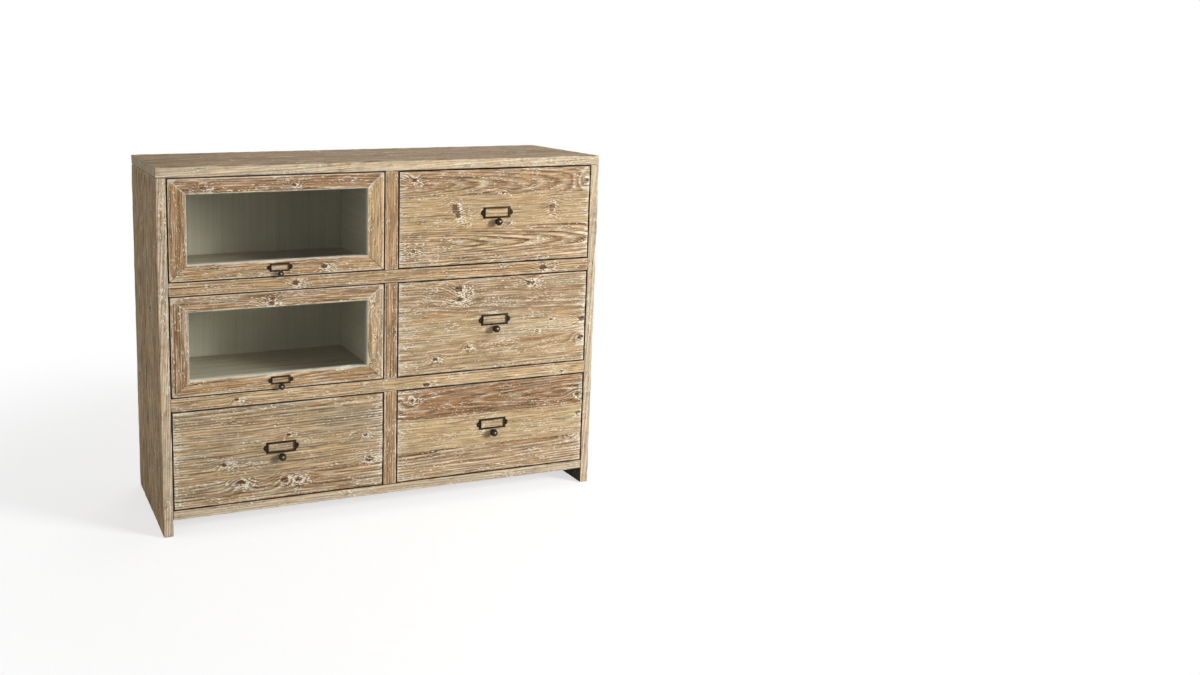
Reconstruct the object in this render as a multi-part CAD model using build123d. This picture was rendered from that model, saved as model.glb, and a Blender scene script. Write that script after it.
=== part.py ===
from build123d import *
import math
import os

# A floor-standing apothecary chest of limed pine. Two glazed flaps over a drawer fill the left
# column, three drawers fill the right one. Millimetres, +Z up, and the front faces -Y.
# The origin is the middle of the footprint, knobs included, at floor level.

# Carcass
chest_width = 1200.0
chest_depth = 390.0
chest_height = 925.0
side_thickness = 25.0
top_thickness = 25.0
foot_height = 43.0
partition_recess = 8.0
shelf_thickness = 18.0
housing_depth = 6.0
worn_edge = 1.5

# Face frame
frame_thickness = 25.0
stile_width = 36.0
rail_height = 34.0
bottom_rail_height = 24.0

# Back
back_board_count = 9
back_board_thickness = 9.0
back_recess = 1.0
back_rebate_width = 10.0
back_board_chamfer = 1.2
nail_head_radius = 2.2
nail_head_height = 0.6
nail_shank_radius = 0.9
nail_length = 22.0
nail_edge_distance = 20.0

# Flaps and drawer fronts
front_thickness = 22.0
front_gap = 2.5
flap_side_gap = 3.0
flap_stile_width = 44.0
flap_rail_width = 39.0
flap_edge = 1.2

# Glazing
glass_setback = 8.0
glass_thickness = 3.0
glass_rebate = 8.0
glass_clearance = 0.5
bead_inset = 1.0

# Flap pivots
pivot_setback = 8.0
pivot_swing_clearance = 0.5
pivot_pin_radius = 2.5
pivot_pin_in_flap = 20.0
pivot_pin_in_frame = 12.0
pivot_running_clearance = 0.06
press_clearance = 0.02

# Drawer boxes
drawer_side_thickness = 12.0
drawer_headroom = 14.7
drawer_side_gap = 1.5
drawer_side_housing = 8.0
drawer_back_thickness = 12.0
drawer_bottom_thickness = 6.0
drawer_bottom_rise = 10.0
drawer_groove_depth = 5.0
drawer_panel_clearance = 0.5
running_clearance = 0.3

# Runners, guides and stops
runner_width = 22.0
runner_height = 20.0
guide_height = 30.0
stop_length = 12.0
stop_height = 25.0
flap_stop_size = 12.0

# Knobs
drawer_knob_diameter = 20.0
drawer_knob_base = 11.6
drawer_knob_reach = 24.0
drawer_knob_drop = 13.5
flap_knob_diameter = 15.5
flap_knob_base = 9.0
flap_knob_reach = 19.0
flap_knob_rise = 6.5
knob_neck_diameter = 5.6
knob_base_thickness = 1.6
knob_shank_radius = 2.0
knob_shank_length = 14.0

# Label holders on the drawers
drawer_label_width = 80.0
drawer_label_height = 30.0
drawer_label_ear = 6.5
drawer_label_lobe = 15.0
drawer_window_width = 66.0
drawer_window_height = 20.0
drawer_label_gap = 2.2

# Label holders on the flaps
flap_label_width = 52.0
flap_label_height = 21.0
flap_label_ear = 7.0
flap_label_lobe = 12.0
flap_window_width = 43.0
flap_window_height = 13.0
flap_label_gap = 0.5

# Both label holders
label_plate = 1.2
label_rim_rise = 1.3
label_rim_width = 2.2
label_notch = 1.8
label_pin_radius = 0.8
label_pin_head = 2.0
label_pin_length = 9.0

# Planes and levels that follow from the sizes
knob_reach = max(drawer_knob_reach, flap_knob_reach)
front_y = (knob_reach - chest_depth) / 2
back_y = front_y + chest_depth
frame_back_y = front_y + frame_thickness
back_outer_y = back_y - back_recess
back_inner_y = back_outer_y - back_board_thickness
inner_x = chest_width / 2 - side_thickness
side_top = chest_height - top_thickness
bottom_top = foot_height + bottom_rail_height
rows = (0, 1, 2)
row_height = (side_top - bottom_top + rail_height) / len(rows) - rail_height
row_floors = [bottom_top + row * (row_height + rail_height) for row in rows]
left_column = (-inner_x, -stile_width / 2)
right_column = (stile_width / 2, inner_x)
partition_face = stile_width / 2 - partition_recess
drawer_back_y = back_inner_y - stop_length - running_clearance

# The pivot hangs so far below the flap's top edge that its front corner clears the frame above
swing_room = front_gap - pivot_swing_clearance
pivot_drop = (pivot_setback**2 - swing_room**2) / (2 * swing_room)
pivot_y = front_y + pivot_setback

# Each label holder sits just above its knob's base
drawer_label_rise = drawer_knob_base / 2 + drawer_label_gap + drawer_label_height / 2 - drawer_knob_drop
flap_label_rise = flap_knob_base / 2 + flap_label_gap + flap_label_height / 2 + flap_knob_rise

# Which drawer fills which opening: name, column, row from the bottom
drawers = [
    ("top_right_drawer", right_column, 2),
    ("middle_right_drawer", right_column, 1),
    ("bottom_right_drawer", right_column, 0),
    ("bottom_left_drawer", left_column, 0),
]
flaps = [("upper_flap", 2), ("lower_flap", 1)]


def block(x, y, z):
    """Box between the low and high values given for x, y and z."""
    centre = [(low + high) / 2 for low, high in (x, y, z)]
    size = [high - low for low, high in (x, y, z)]
    return Pos(*centre) * Box(*size)


def upright(outline, y):
    """Solid with an outline drawn in x and z, between two depths."""
    plane = Plane((0, y[0], 0), x_dir=(1, 0, 0), z_dir=(0, -1, 0))
    return extrude(plane * make_face(outline), amount=y[1] - y[0], dir=(0, 1, 0))


def rod(radius, start, end):
    """Round bar from one point to another along a single axis."""
    middle = [(a + b) / 2 for a, b in zip(start, end)]
    length = math.dist(start, end)
    turn = {0: Rotation(0, 90, 0), 1: Rotation(90, 0, 0), 2: Rotation(0, 0, 0)}
    axis = [a != b for a, b in zip(start, end)].index(True)
    return Pos(*middle) * turn[axis] * Cylinder(radius, length)


def soften_front(solid, radius):
    """Worn rounding round the face that looks forward."""
    front = solid.faces().sort_by(Axis.Y)[0]
    return fillet(front.edges(), radius)


def top_board():
    board = block((-chest_width / 2, chest_width / 2), (front_y, back_y), (side_top, chest_height))
    board = fillet(board.edges(), worn_edge)
    rebate_x = inner_x + back_rebate_width
    board -= block((-rebate_x, rebate_x), (back_inner_y, back_y), (side_top, back_top()))
    return board - nail_holes(upper_nail_level())


def back_top():
    """Upper end of the back boards, let into the top board."""
    return side_top + back_rebate_width


def side_panel(sign):
    """One side plank: sign -1 is the left one, +1 the right one."""
    panel = block((inner_x, chest_width / 2), (front_y, back_y), (0, side_top))
    panel = fillet(panel.edges(), worn_edge)
    panel -= block((inner_x, inner_x + back_rebate_width), (back_inner_y, back_y), (foot_height, side_top))
    panel -= housed_board(bottom_top, (0, inner_x + housing_depth))
    if sign < 0:
        panel = mirror(panel, Plane.YZ)
        for name, row in flaps:
            panel -= housed_board(row_floors[row], (-inner_x - housing_depth, 0))
            panel -= pivot_hole(row, -1)
    return panel


def housed_board(top, x):
    """Horizontal board inside the carcass with its upper face at one level."""
    return block(x, (frame_back_y, back_inner_y), (top - shelf_thickness, top))


def bottom_board():
    board = housed_board(bottom_top, (-inner_x - housing_depth, inner_x + housing_depth))
    return board - nail_holes(lower_nail_level())


def shelf(row):
    """Floor of one glazed compartment, housed in the left side and the partition."""
    return housed_board(row_floors[row], (-inner_x - housing_depth, housing_depth - partition_face))


def centre_partition():
    x = (-partition_face, partition_face)
    panel = block(x, (frame_back_y, back_inner_y), (bottom_top, side_top))
    for name, row in flaps:
        panel -= shelf(row)
    return panel


def rail(bottom, height):
    """One rail of the face frame, between the two sides."""
    board = block((-inner_x, inner_x), (front_y, frame_back_y), (bottom, bottom + height))
    return soften_front(board, worn_edge)


def centre_stiles():
    """The three short posts between the rails, bored for the flap pivots."""
    posts = []
    x = (-stile_width / 2, stile_width / 2)
    for floor in row_floors:
        post = block(x, (front_y, frame_back_y), (floor, floor + row_height))
        posts.append(soften_front(post, worn_edge))
    for name, row in flaps:
        posts[row] -= pivot_hole(row, 1)
    return Compound(posts)


def back_boards():
    """Vertical boards with chamfered edges, side by side in the rebates."""
    low = -inner_x - back_rebate_width
    width = -2 * low / back_board_count
    boards = []
    for index in range(back_board_count):
        x = (low + index * width, low + (index + 1) * width)
        board = block(x, (back_inner_y, back_outer_y), (foot_height, back_top()))
        board = chamfer(board.edges().filter_by(Axis.Z), back_board_chamfer)
        for level in (lower_nail_level(), upper_nail_level()):
            board -= [nail_shank(nail_x, level, press_clearance) for nail_x in board_nails(index)]
        boards.append(board)
    return Compound(boards)


def lower_nail_level():
    """Height of the nails that go into the bottom board."""
    return bottom_top - shelf_thickness / 2


def upper_nail_level():
    """Height of the nails that go into the top board."""
    return side_top + back_rebate_width / 2


def board_nails(index):
    """x of the two nails in one back board."""
    low = -inner_x - back_rebate_width
    width = -2 * low / back_board_count
    return low + index * width + nail_edge_distance, low + (index + 1) * width - nail_edge_distance


def nail_shank(x, z, clearance):
    end = back_outer_y - nail_length - clearance
    return rod(nail_shank_radius + clearance, (x, end, z), (x, back_outer_y, z))


def nail_holes(level):
    """Holes for one row of back nails."""
    places = [x for index in range(back_board_count) for x in board_nails(index)]
    return [nail_shank(x, level, press_clearance) for x in places]


def back_nails():
    """Round-headed nails that hold the back boards to the bottom board and the top board."""
    nails = []
    for index in range(back_board_count):
        for x in board_nails(index):
            for z in (lower_nail_level(), upper_nail_level()):
                head = rod(nail_head_radius, (x, back_outer_y, z), (x, back_outer_y + nail_head_height, z))
                nails.append(head + nail_shank(x, z, 0))
    return Compound(nails)


def runner_blocks():
    """Strips that carry the drawers between the rails, and guides beside the partition."""
    y = (frame_back_y, back_inner_y)
    strips = []
    for floor in row_floors[1:]:
        z = (floor - runner_height, floor)
        strips.append(block((partition_face, right_column[0] + runner_width), y, z))
        strips.append(block((inner_x - runner_width, inner_x), y, z))
    for floor in row_floors:
        strips.append(block((partition_face, right_column[0]), y, (floor, floor + guide_height)))
    strips.append(block((left_column[1], -partition_face), y, (bottom_top, bottom_top + guide_height)))
    return Compound(strips)


def stop_blocks():
    """Blocks that halt the drawers at their rear ends, and a strip behind each flap's lower edge."""
    blocks = []
    for name, column, row in drawers:
        z = (row_floors[row], row_floors[row] + stop_height)
        for x in drawer_side_spans(column):
            blocks.append(block(x, (back_inner_y - stop_length, back_inner_y), z))
    stop_y = front_y + front_thickness + running_clearance
    for name, row in flaps:
        z = (row_floors[row], row_floors[row] + flap_stop_size)
        blocks.append(block(left_column, (stop_y, stop_y + flap_stop_size), z))
    return Compound(blocks)


def drawer_side_spans(column):
    """The x ranges of a drawer's two sides."""
    low = column[0] + drawer_side_gap
    high = column[1] - drawer_side_gap
    return [(low, low + drawer_side_thickness), (high - drawer_side_thickness, high)]


def drawer_levels(row):
    """Lower and upper edge of a drawer's sides."""
    return row_floors[row] + running_clearance, row_floors[row] + row_height - drawer_headroom


def drawer_centre(column, row):
    """Middle of a drawer's front in x and z."""
    return (column[0] + column[1]) / 2, row_floors[row] + row_height / 2


def drawer_bottom(column, row):
    """Thin panel held in grooves all round."""
    left, right = drawer_side_spans(column)
    reach = drawer_groove_depth - drawer_panel_clearance
    low = drawer_levels(row)[0] + drawer_bottom_rise
    y = (front_y + front_thickness - reach, drawer_back_y - drawer_back_thickness + reach)
    return block((left[1] - reach, right[0] + reach), y, (low, low + drawer_bottom_thickness))


def bottom_groove(column, row):
    """Room that the panel's grooves take out of the sides, front and back."""
    left, right = drawer_side_spans(column)
    depth = drawer_groove_depth
    low = drawer_levels(row)[0] + drawer_bottom_rise
    y = (front_y + front_thickness - depth, drawer_back_y - drawer_back_thickness + depth)
    return block((left[1] - depth, right[0] + depth), y, (low, low + drawer_bottom_thickness))


def drawer_sides(column, row):
    y = (front_y + front_thickness - drawer_side_housing, drawer_back_y)
    boards = [block(x, y, drawer_levels(row)) for x in drawer_side_spans(column)]
    return Compound([board - bottom_groove(column, row) for board in boards])


def drawer_back(column, row):
    left, right = drawer_side_spans(column)
    y = (drawer_back_y - drawer_back_thickness, drawer_back_y)
    return block((left[1], right[0]), y, drawer_levels(row)) - bottom_groove(column, row)


def drawer_front(column, row):
    """Front board, housed for the sides, grooved for the bottom and bored for its fittings."""
    floor = row_floors[row]
    x = (column[0] + front_gap, column[1] - front_gap)
    z = (floor + front_gap, floor + row_height - front_gap)
    board = soften_front(block(x, (front_y, front_y + front_thickness), z), worn_edge)
    y = (front_y + front_thickness - drawer_side_housing, drawer_back_y)
    for side_x in drawer_side_spans(column):
        board -= block(side_x, y, drawer_levels(row))
    board -= bottom_groove(column, row)
    x, z = drawer_centre(column, row)
    board -= knob_hole((x, z - drawer_knob_drop))
    return board - label_pin_holes((x, z + drawer_label_rise), drawer_label_width, drawer_label_ear)


def flap_outline(row):
    """Outer and inner corners of a flap's frame, from the lower left one round."""
    floor = row_floors[row]
    x = (left_column[0] + flap_side_gap, left_column[1] - flap_side_gap)
    z = (floor + front_gap, floor + row_height - front_gap)
    outer = [(x[0], z[0]), (x[1], z[0]), (x[1], z[1]), (x[0], z[1])]
    sight_x = (x[0] + flap_stile_width, x[1] - flap_stile_width)
    sight_z = (z[0] + flap_rail_width, z[1] - flap_rail_width)
    inner = [
        (sight_x[0], sight_z[0]),
        (sight_x[1], sight_z[0]),
        (sight_x[1], sight_z[1]),
        (sight_x[0], sight_z[1]),
    ]
    return outer, inner


def sight(row, margin):
    """x and z ranges of a flap's glazed opening, grown by a margin."""
    inner = flap_outline(row)[1]
    low, high = inner[0], inner[2]
    return (low[0] - margin, high[0] + margin), (low[1] - margin, high[1] + margin)


def flap_member(row, corner):
    """One mitred member of a flap, between a corner and the next one round."""
    outer, inner = flap_outline(row)
    following = (corner + 1) % 4
    outline = Polyline(outer[corner], outer[following], inner[following], inner[corner], close=True)
    member = soften_front(upright(outline, (front_y, front_y + front_thickness)), flap_edge)
    x, z = sight(row, glass_rebate)
    member -= block(x, (front_y + glass_setback, front_y + front_thickness), z)
    return member


def flap_centre_x():
    return (left_column[0] + left_column[1]) / 2


def pin_seats(row):
    """Bores for both pivot pins, which also tie the mitred corners together."""
    return [pivot_pin(row, sign, press_clearance) for sign in (-1, 1)]


def flap_rails(row):
    """Bottom and top rail; the bottom one is bored for the knob and the label pins."""
    low = flap_outline(row)[0][0][1]
    bottom = flap_member(row, 0) - knob_hole((flap_centre_x(), low + flap_knob_rise))
    bottom -= label_pin_holes((flap_centre_x(), low + flap_label_rise), flap_label_width, flap_label_ear)
    return Compound([bottom, flap_member(row, 2) - pin_seats(row)])


def flap_stiles(row):
    """Left and right stile with the seats of the pivot pins."""
    return Compound([flap_member(row, corner) - pin_seats(row) for corner in (3, 1)])


def flap_glass(row):
    x, z = sight(row, glass_rebate - glass_clearance)
    return block(x, (front_y + glass_setback, front_y + glass_setback + glass_thickness), z)


def flap_beads(row):
    """Four strips that hold the pane in its rebate from behind."""
    y = (front_y + glass_setback + glass_thickness, front_y + front_thickness - bead_inset)
    outer_x, outer_z = sight(row, glass_rebate)
    sight_x, sight_z = sight(row, 0)
    strips = [
        block(outer_x, y, (outer_z[0], sight_z[0])),
        block(outer_x, y, (sight_z[1], outer_z[1])),
        block((outer_x[0], sight_x[0]), y, sight_z),
        block((sight_x[1], outer_x[1]), y, sight_z),
    ]
    return Compound(strips)


def pivot_z(row):
    return row_floors[row] + row_height - front_gap - pivot_drop


def pivot_pin(row, sign, clearance):
    """Pin through a flap's upper corner into the frame: sign -1 is the left one, +1 the right one."""
    edge = left_column[0] if sign < 0 else left_column[1]
    inside = (edge - sign * (flap_side_gap + pivot_pin_in_flap), pivot_y, pivot_z(row))
    outside = (edge + sign * pivot_pin_in_frame, pivot_y, pivot_z(row))
    return rod(pivot_pin_radius + clearance, inside, outside)


def pivot_hole(row, sign):
    """Bore in the frame for one pivot pin, a little deeper than the pin reaches."""
    edge = left_column[0] if sign < 0 else left_column[1]
    mouth = (edge, pivot_y, pivot_z(row))
    end = (edge + sign * (pivot_pin_in_frame + running_clearance), pivot_y, pivot_z(row))
    return rod(pivot_pin_radius + pivot_running_clearance, mouth, end)


def flap_pins(row):
    return Compound([pivot_pin(row, sign, 0) for sign in (-1, 1)])


def label_outline(centre, width, height, ear, lobe):
    """Plate with a lobed ear at each end, between two small notches."""
    x, z = centre
    lines = []
    for sign in (1, -1):
        end = x + sign * width / 2
        notch_x = end - sign * label_notch
        notch_z = (height + lobe) / 4
        top, ear_top = (end, z + sign * height / 2), (end, z + sign * lobe / 2)
        ear_foot, foot = (end, z - sign * lobe / 2), (end, z - sign * height / 2)
        lines.append(ThreePointArc(top, (notch_x, z + sign * notch_z), ear_top))
        lines.append(ThreePointArc(ear_top, (end + sign * ear, z), ear_foot))
        lines.append(ThreePointArc(ear_foot, (notch_x, z - sign * notch_z), foot))
        lines.append(Line(foot, (x - sign * width / 2, z - sign * height / 2)))
    return lines


def window(centre, size, margin, y):
    """Block as large as a label holder's window, grown by a margin."""
    half_width, half_height = size[0] / 2 + margin, size[1] / 2 + margin
    x, z = centre
    return block((x - half_width, x + half_width), y, (z - half_height, z + half_height))


def label_holder(centre, width, height, ear, lobe, window_size):
    """Thin plate round an open window, with a raised rim that holds a card."""
    face_y = front_y - label_plate
    rim_y = face_y - label_rim_rise
    plate = upright(label_outline(centre, width, height, ear, lobe), (face_y, front_y))
    rim = window(centre, window_size, label_rim_width, (rim_y, face_y))
    holder = plate + rim - window(centre, window_size, 0, (rim_y, front_y))
    return holder - label_pin_holes(centre, width, ear)


def label_pin_places(centre, width, ear):
    """Where the two pins go through the ears."""
    reach = (width + ear) / 2 - label_pin_head / 2
    return [(centre[0] - reach, centre[1]), (centre[0] + reach, centre[1])]


def label_pin_holes(centre, width, ear):
    """Bores for the pins, through the plate and into the wood."""
    radius = label_pin_radius + press_clearance
    face_y = front_y - label_plate
    end_y = front_y + label_pin_length + running_clearance
    return [rod(radius, (x, face_y, z), (x, end_y, z)) for x, z in label_pin_places(centre, width, ear)]


def label_pins(centre, width, ear):
    """Two small pins with domed heads."""
    face_y = front_y - label_plate
    pins = []
    for x, z in label_pin_places(centre, width, ear):
        ball = Pos(x, face_y, z) * Sphere(label_pin_head)
        rear_half = rod(2 * label_pin_head, (x, face_y, z), (x, face_y + label_pin_head, z))
        shank = rod(label_pin_radius, (x, face_y, z), (x, front_y + label_pin_length, z))
        pins.append(ball - rear_half + shank)
    return Compound(pins)


def knob_hole(place):
    x, z = place
    end = front_y + knob_shank_length + running_clearance
    return rod(knob_shank_radius + press_clearance, (x, front_y, z), (x, end, z))


def knob(place, diameter, base_diameter, reach):
    """Turned ball on a short neck and a round base, with a shank into the wood."""
    x, z = place
    centre_y = front_y - reach + diameter / 2
    ball = Pos(x, centre_y, z) * Sphere(diameter / 2)
    base = rod(base_diameter / 2, (x, front_y - knob_base_thickness, z), (x, front_y, z))
    neck = rod(knob_neck_diameter / 2, (x, centre_y, z), (x, front_y, z))
    shank = rod(knob_shank_radius, (x, front_y, z), (x, front_y + knob_shank_length, z))
    return ball + base + neck + shank


def carcass_parts():
    return {
        "top_board": top_board(),
        "left_side": side_panel(-1),
        "right_side": side_panel(1),
        "centre_partition": centre_partition(),
        "upper_rail": rail(row_floors[2] - rail_height, rail_height),
        "lower_rail": rail(row_floors[1] - rail_height, rail_height),
        "bottom_rail": rail(foot_height, bottom_rail_height),
        "centre_stiles": centre_stiles(),
        "bottom_board": bottom_board(),
        "upper_shelf": shelf(2),
        "lower_shelf": shelf(1),
        "back_boards": back_boards(),
        "back_nails": back_nails(),
        "drawer_runners": runner_blocks(),
        "stop_blocks": stop_blocks(),
    }


def flap_parts(name, row):
    low = flap_outline(row)[0][0][1]
    handle = (flap_centre_x(), low + flap_knob_rise)
    label = (flap_centre_x(), low + flap_label_rise)
    holder_size = (flap_label_width, flap_label_height, flap_label_ear, flap_label_lobe)
    window_size = (flap_window_width, flap_window_height)
    return {
        name + "_stiles": flap_stiles(row),
        name + "_rails": flap_rails(row),
        name + "_glass": flap_glass(row),
        name + "_beads": flap_beads(row),
        name + "_pivot_pins": flap_pins(row),
        name + "_label_holder": label_holder(label, *holder_size, window_size),
        name + "_label_pins": label_pins(label, flap_label_width, flap_label_ear),
        name + "_knob": knob(handle, flap_knob_diameter, flap_knob_base, flap_knob_reach),
    }


def drawer_parts(name, column, row):
    x, z = drawer_centre(column, row)
    handle = (x, z - drawer_knob_drop)
    label = (x, z + drawer_label_rise)
    holder_size = (drawer_label_width, drawer_label_height, drawer_label_ear, drawer_label_lobe)
    window_size = (drawer_window_width, drawer_window_height)
    return {
        name + "_front": drawer_front(column, row),
        name + "_sides": drawer_sides(column, row),
        name + "_back": drawer_back(column, row),
        name + "_bottom": drawer_bottom(column, row),
        name + "_label_holder": label_holder(label, *holder_size, window_size),
        name + "_label_pins": label_pins(label, drawer_label_width, drawer_label_ear),
        name + "_knob": knob(handle, drawer_knob_diameter, drawer_knob_base, drawer_knob_reach),
    }


parts = carcass_parts()
for flap_name, flap_row in flaps:
    parts.update(flap_parts(flap_name, flap_row))
for drawer_name, drawer_column, drawer_row in drawers:
    parts.update(drawer_parts(drawer_name, drawer_column, drawer_row))

os.makedirs("parts", exist_ok=True)
for node, shape in parts.items():
    export_step(shape, f"parts/{node}.step")
print(len(parts), "nodes; front at y", front_y, "rows", row_floors, "row height", row_height)
print("flap pivots at y", pivot_y, "z", [pivot_z(row) for name, row in flaps], "drop", pivot_drop)
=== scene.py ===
# %% [markdown]
# An apothecary chest in lime-washed pine. Two glazed flaps stand over a drawer on the left and three
# drawers fill the right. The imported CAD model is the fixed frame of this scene: it gives every size and
# place, and the pieces made here are its boards and fittings with their worn edges, grain and patina.

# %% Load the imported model
import math
import random
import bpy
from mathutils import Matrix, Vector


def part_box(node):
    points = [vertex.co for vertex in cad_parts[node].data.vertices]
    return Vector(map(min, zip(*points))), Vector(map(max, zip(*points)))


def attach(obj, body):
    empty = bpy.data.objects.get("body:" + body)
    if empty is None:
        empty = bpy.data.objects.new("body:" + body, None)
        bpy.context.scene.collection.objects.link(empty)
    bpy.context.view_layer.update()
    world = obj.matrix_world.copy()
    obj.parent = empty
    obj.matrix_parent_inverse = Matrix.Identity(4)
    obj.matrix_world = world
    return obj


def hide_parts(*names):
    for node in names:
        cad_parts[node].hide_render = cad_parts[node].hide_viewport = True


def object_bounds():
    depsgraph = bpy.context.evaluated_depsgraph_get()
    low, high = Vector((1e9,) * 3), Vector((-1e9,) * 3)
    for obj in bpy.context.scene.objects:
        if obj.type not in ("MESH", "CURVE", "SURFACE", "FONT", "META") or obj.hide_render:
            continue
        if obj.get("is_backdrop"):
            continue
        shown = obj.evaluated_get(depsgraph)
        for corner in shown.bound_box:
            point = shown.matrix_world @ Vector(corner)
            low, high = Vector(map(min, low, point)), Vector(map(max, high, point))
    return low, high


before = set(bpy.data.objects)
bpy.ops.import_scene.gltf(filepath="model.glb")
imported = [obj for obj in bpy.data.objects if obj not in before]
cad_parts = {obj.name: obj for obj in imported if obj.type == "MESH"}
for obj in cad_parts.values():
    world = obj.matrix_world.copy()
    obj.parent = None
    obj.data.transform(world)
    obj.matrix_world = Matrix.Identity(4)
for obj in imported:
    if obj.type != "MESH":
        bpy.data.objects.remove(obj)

from types import SimpleNamespace

import bpy
import numpy as np
from mathutils import Vector

cad_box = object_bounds()
print("CAD box", [[round(v, 4) for v in corner] for corner in cad_box])

# %% [markdown]
# The chest stands left of the middle of a wide picture, seen from its left and from a little above its
# top. A camera could be aimed straight at it, but then its upright edges would lean the wrong way. So the
# camera looks nearly level past the chest, and the lens is shifted to bring the chest back into view. The
# Standard view transform shows colours as they are written.

# %% Camera
scene = bpy.context.scene
scene.view_settings.view_transform = "Standard"
camera_data = bpy.data.cameras.new("camera")
camera_data.sensor_width = 36.0
camera_data.lens = 34.6
camera_data.shift_x = 0.196
camera_data.shift_y = -0.078
camera = bpy.data.objects.new("camera", camera_data)
camera.location = (-1.040, -2.908, 1.191)
camera.rotation_euler = (math.radians(80.68), math.radians(-0.24), math.radians(-19.5))
scene.collection.objects.link(camera)
scene.camera = camera
print("camera at", tuple(camera.location))

# %% [markdown]
# A studio lights such furniture with one large soft lamp. The knobs' shadows fall to the left and down,
# so the key lamp hangs in front, high and to the right. Alone it would leave the left side and the back
# too dark, so a weak fill stands at the left and a stronger one behind.

# %% Lamps
def area_lamp(name, place, aim, size, watts):
    """A square soft lamp that faces a point."""
    data = bpy.data.lights.new(name, "AREA")
    data.shape = "SQUARE"
    data.size = size
    data.energy = watts
    lamp = bpy.data.objects.new(name, data)
    lamp.location = place
    lamp.rotation_euler = (Vector(aim) - Vector(place)).to_track_quat("-Z", "Y").to_euler()
    scene.collection.objects.link(lamp)


area_lamp("key lamp", (3.9, -3.95, 2.25), (0.0, -0.1, 0.5), 1.6, 290.0)
area_lamp("left fill", (-4.3, -2.3, 1.6), (0.0, 0.0, 0.5), 2.4, 21.0)
area_lamp("back fill", (1.6, 3.6, 1.0), (0.0, 0.0, 0.5), 2.4, 75.0)

# %% [markdown]
# Colours in this file are given as a picture editor shows them, from 0 to 255 for red, green and blue,
# because that is how one reads them off a sample board. Shaders count light instead, so a function turns
# them into linear values.

# %% Colours
def srgb(red, green, blue):
    """Linear colour for the 0 to 255 values of a picture editor."""
    scaled = (v / 255 for v in (red, green, blue))
    return tuple(v / 12.92 if v <= 0.04045 else ((v + 0.055) / 1.055) ** 2.4 for v in scaled) + (1.0,)


LIME = srgb(245, 236, 214)
PAINT = srgb(208, 204, 186)
# This colour is real dirt, and it also paints the shade in the brushed furrows.
DIRT_AND_FURROW_SHADE = srgb(92, 66, 43)
print("limewash in linear values", [round(v, 3) for v in LIME[:3]])

# %% [markdown]
# A material is a tree of nodes joined by wires. Wiring each by hand in Python is long to write and hard to
# read back. So the output of a node is kept here as a Wire, and a sum on a wire is written as a sum: it
# adds the Math node that does it.

# %% Wires and sums
def add_node(tree, kind, inputs=None, **settings):
    """A node with its settings made, and its inputs linked to wires or filled with values."""
    node = tree.nodes.new(kind)
    for key, value in settings.items():
        setattr(node, key, value)
    for key, value in (inputs or {}).items():
        if isinstance(value, Wire):
            tree.links.new(value.socket, node.inputs[key])
        else:
            node.inputs[key].default_value = value
    return node


class Wire:
    """One output of a node."""

    def __init__(self, node, output=0):
        self.socket = node.outputs[output]
        self.tree = self.socket.id_data

    def __add__(self, other):
        return calc("ADD", self, other)

    def __sub__(self, other):
        return calc("SUBTRACT", self, other)

    def __rsub__(self, other):
        return calc("SUBTRACT", other, self)

    def __mul__(self, other):
        return calc("MULTIPLY", self, other)

    def clamped(self):
        """Holds this sum between 0 and 1."""
        self.socket.node.use_clamp = True
        return self


def wired(tree, kind, inputs=None, output=0, **settings):
    """Adds a node and gives one of its outputs."""
    return Wire(add_node(tree, kind, inputs, **settings), output)


def tree_of(values):
    """The tree that the first wire among some values belongs to."""
    return next(value.tree for value in values if isinstance(value, Wire))


def calc(operation, *values):
    """The result of one Math node."""
    return wired(tree_of(values), "ShaderNodeMath", dict(enumerate(values)), operation=operation)


print("a wire can be added, subtracted, multiplied and clamped")

# %% [markdown]
# Five more helpers are used all over. One eases a value from one level to another, as a soft brush would.
# One makes noise that is long in one direction, which is what wood looks like close to. One mixes two
# colours, one takes a vector apart, and one gives a number by chance. A Mix node has sockets of the same
# name for numbers, vectors and colours, so those for colours are picked by their place.

# %% Noise, easing and mixing
COLOUR_SOCKETS = (0, 6, 7)
COLOUR_RESULT = 2


def ease(value, low, high, start=0.0, end=1.0):
    """A smooth step of a value from start at low to end at high."""
    inputs = {"Value": value, "From Min": low, "From Max": high, "To Min": start, "To Max": end}
    return wired(value.tree, "ShaderNodeMapRange", inputs, interpolation_type="SMOOTHSTEP")


def noise(vector, lengths, detail=2.0, roughness=0.5):
    """Noise whose blots are about as long in x, y and z as the given lengths."""
    scale = tuple(1 / length for length in lengths)
    scaled = wired(vector.tree, "ShaderNodeVectorMath", {0: vector, 1: scale}, operation="MULTIPLY")
    inputs = {"Vector": scaled, "Scale": 1.0, "Detail": detail, "Roughness": roughness}
    return wired(vector.tree, "ShaderNodeTexNoise", inputs)


def mixed(factor, first, second, blend_type="MIX"):
    """A colour between two colours."""
    values = (factor, first, second)
    inputs = dict(zip(COLOUR_SOCKETS, values))
    return wired(tree_of(values), "ShaderNodeMix", inputs, COLOUR_RESULT, data_type="RGBA",
                 blend_type=blend_type)


def split(vector):
    """The x, y and z of a vector."""
    node = add_node(vector.tree, "ShaderNodeSeparateXYZ", {0: vector})
    return [Wire(node, axis) for axis in range(3)]


def chance_of(number):
    """A number from 0 to 1 by chance, the same for the same number."""
    return wired(number.tree, "ShaderNodeTexWhiteNoise", {"W": number}, noise_dimensions="1D")


print("helpers", ease.__name__, noise.__name__, mixed.__name__, split.__name__, chance_of.__name__)

# %% [markdown]
# The world is the pale room around the chest. If it were pure white it would also light the chest as
# strongly as the lamps and flatten it. The Light Path node tells rays apart, so the room is white where
# the camera, a mirror or a pane looks at it, and dim where it only gives light.

# %% World
WHITE = (1.0, 1.0, 1.0, 1.0)
ROOM_LIGHT = 0.28


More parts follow.
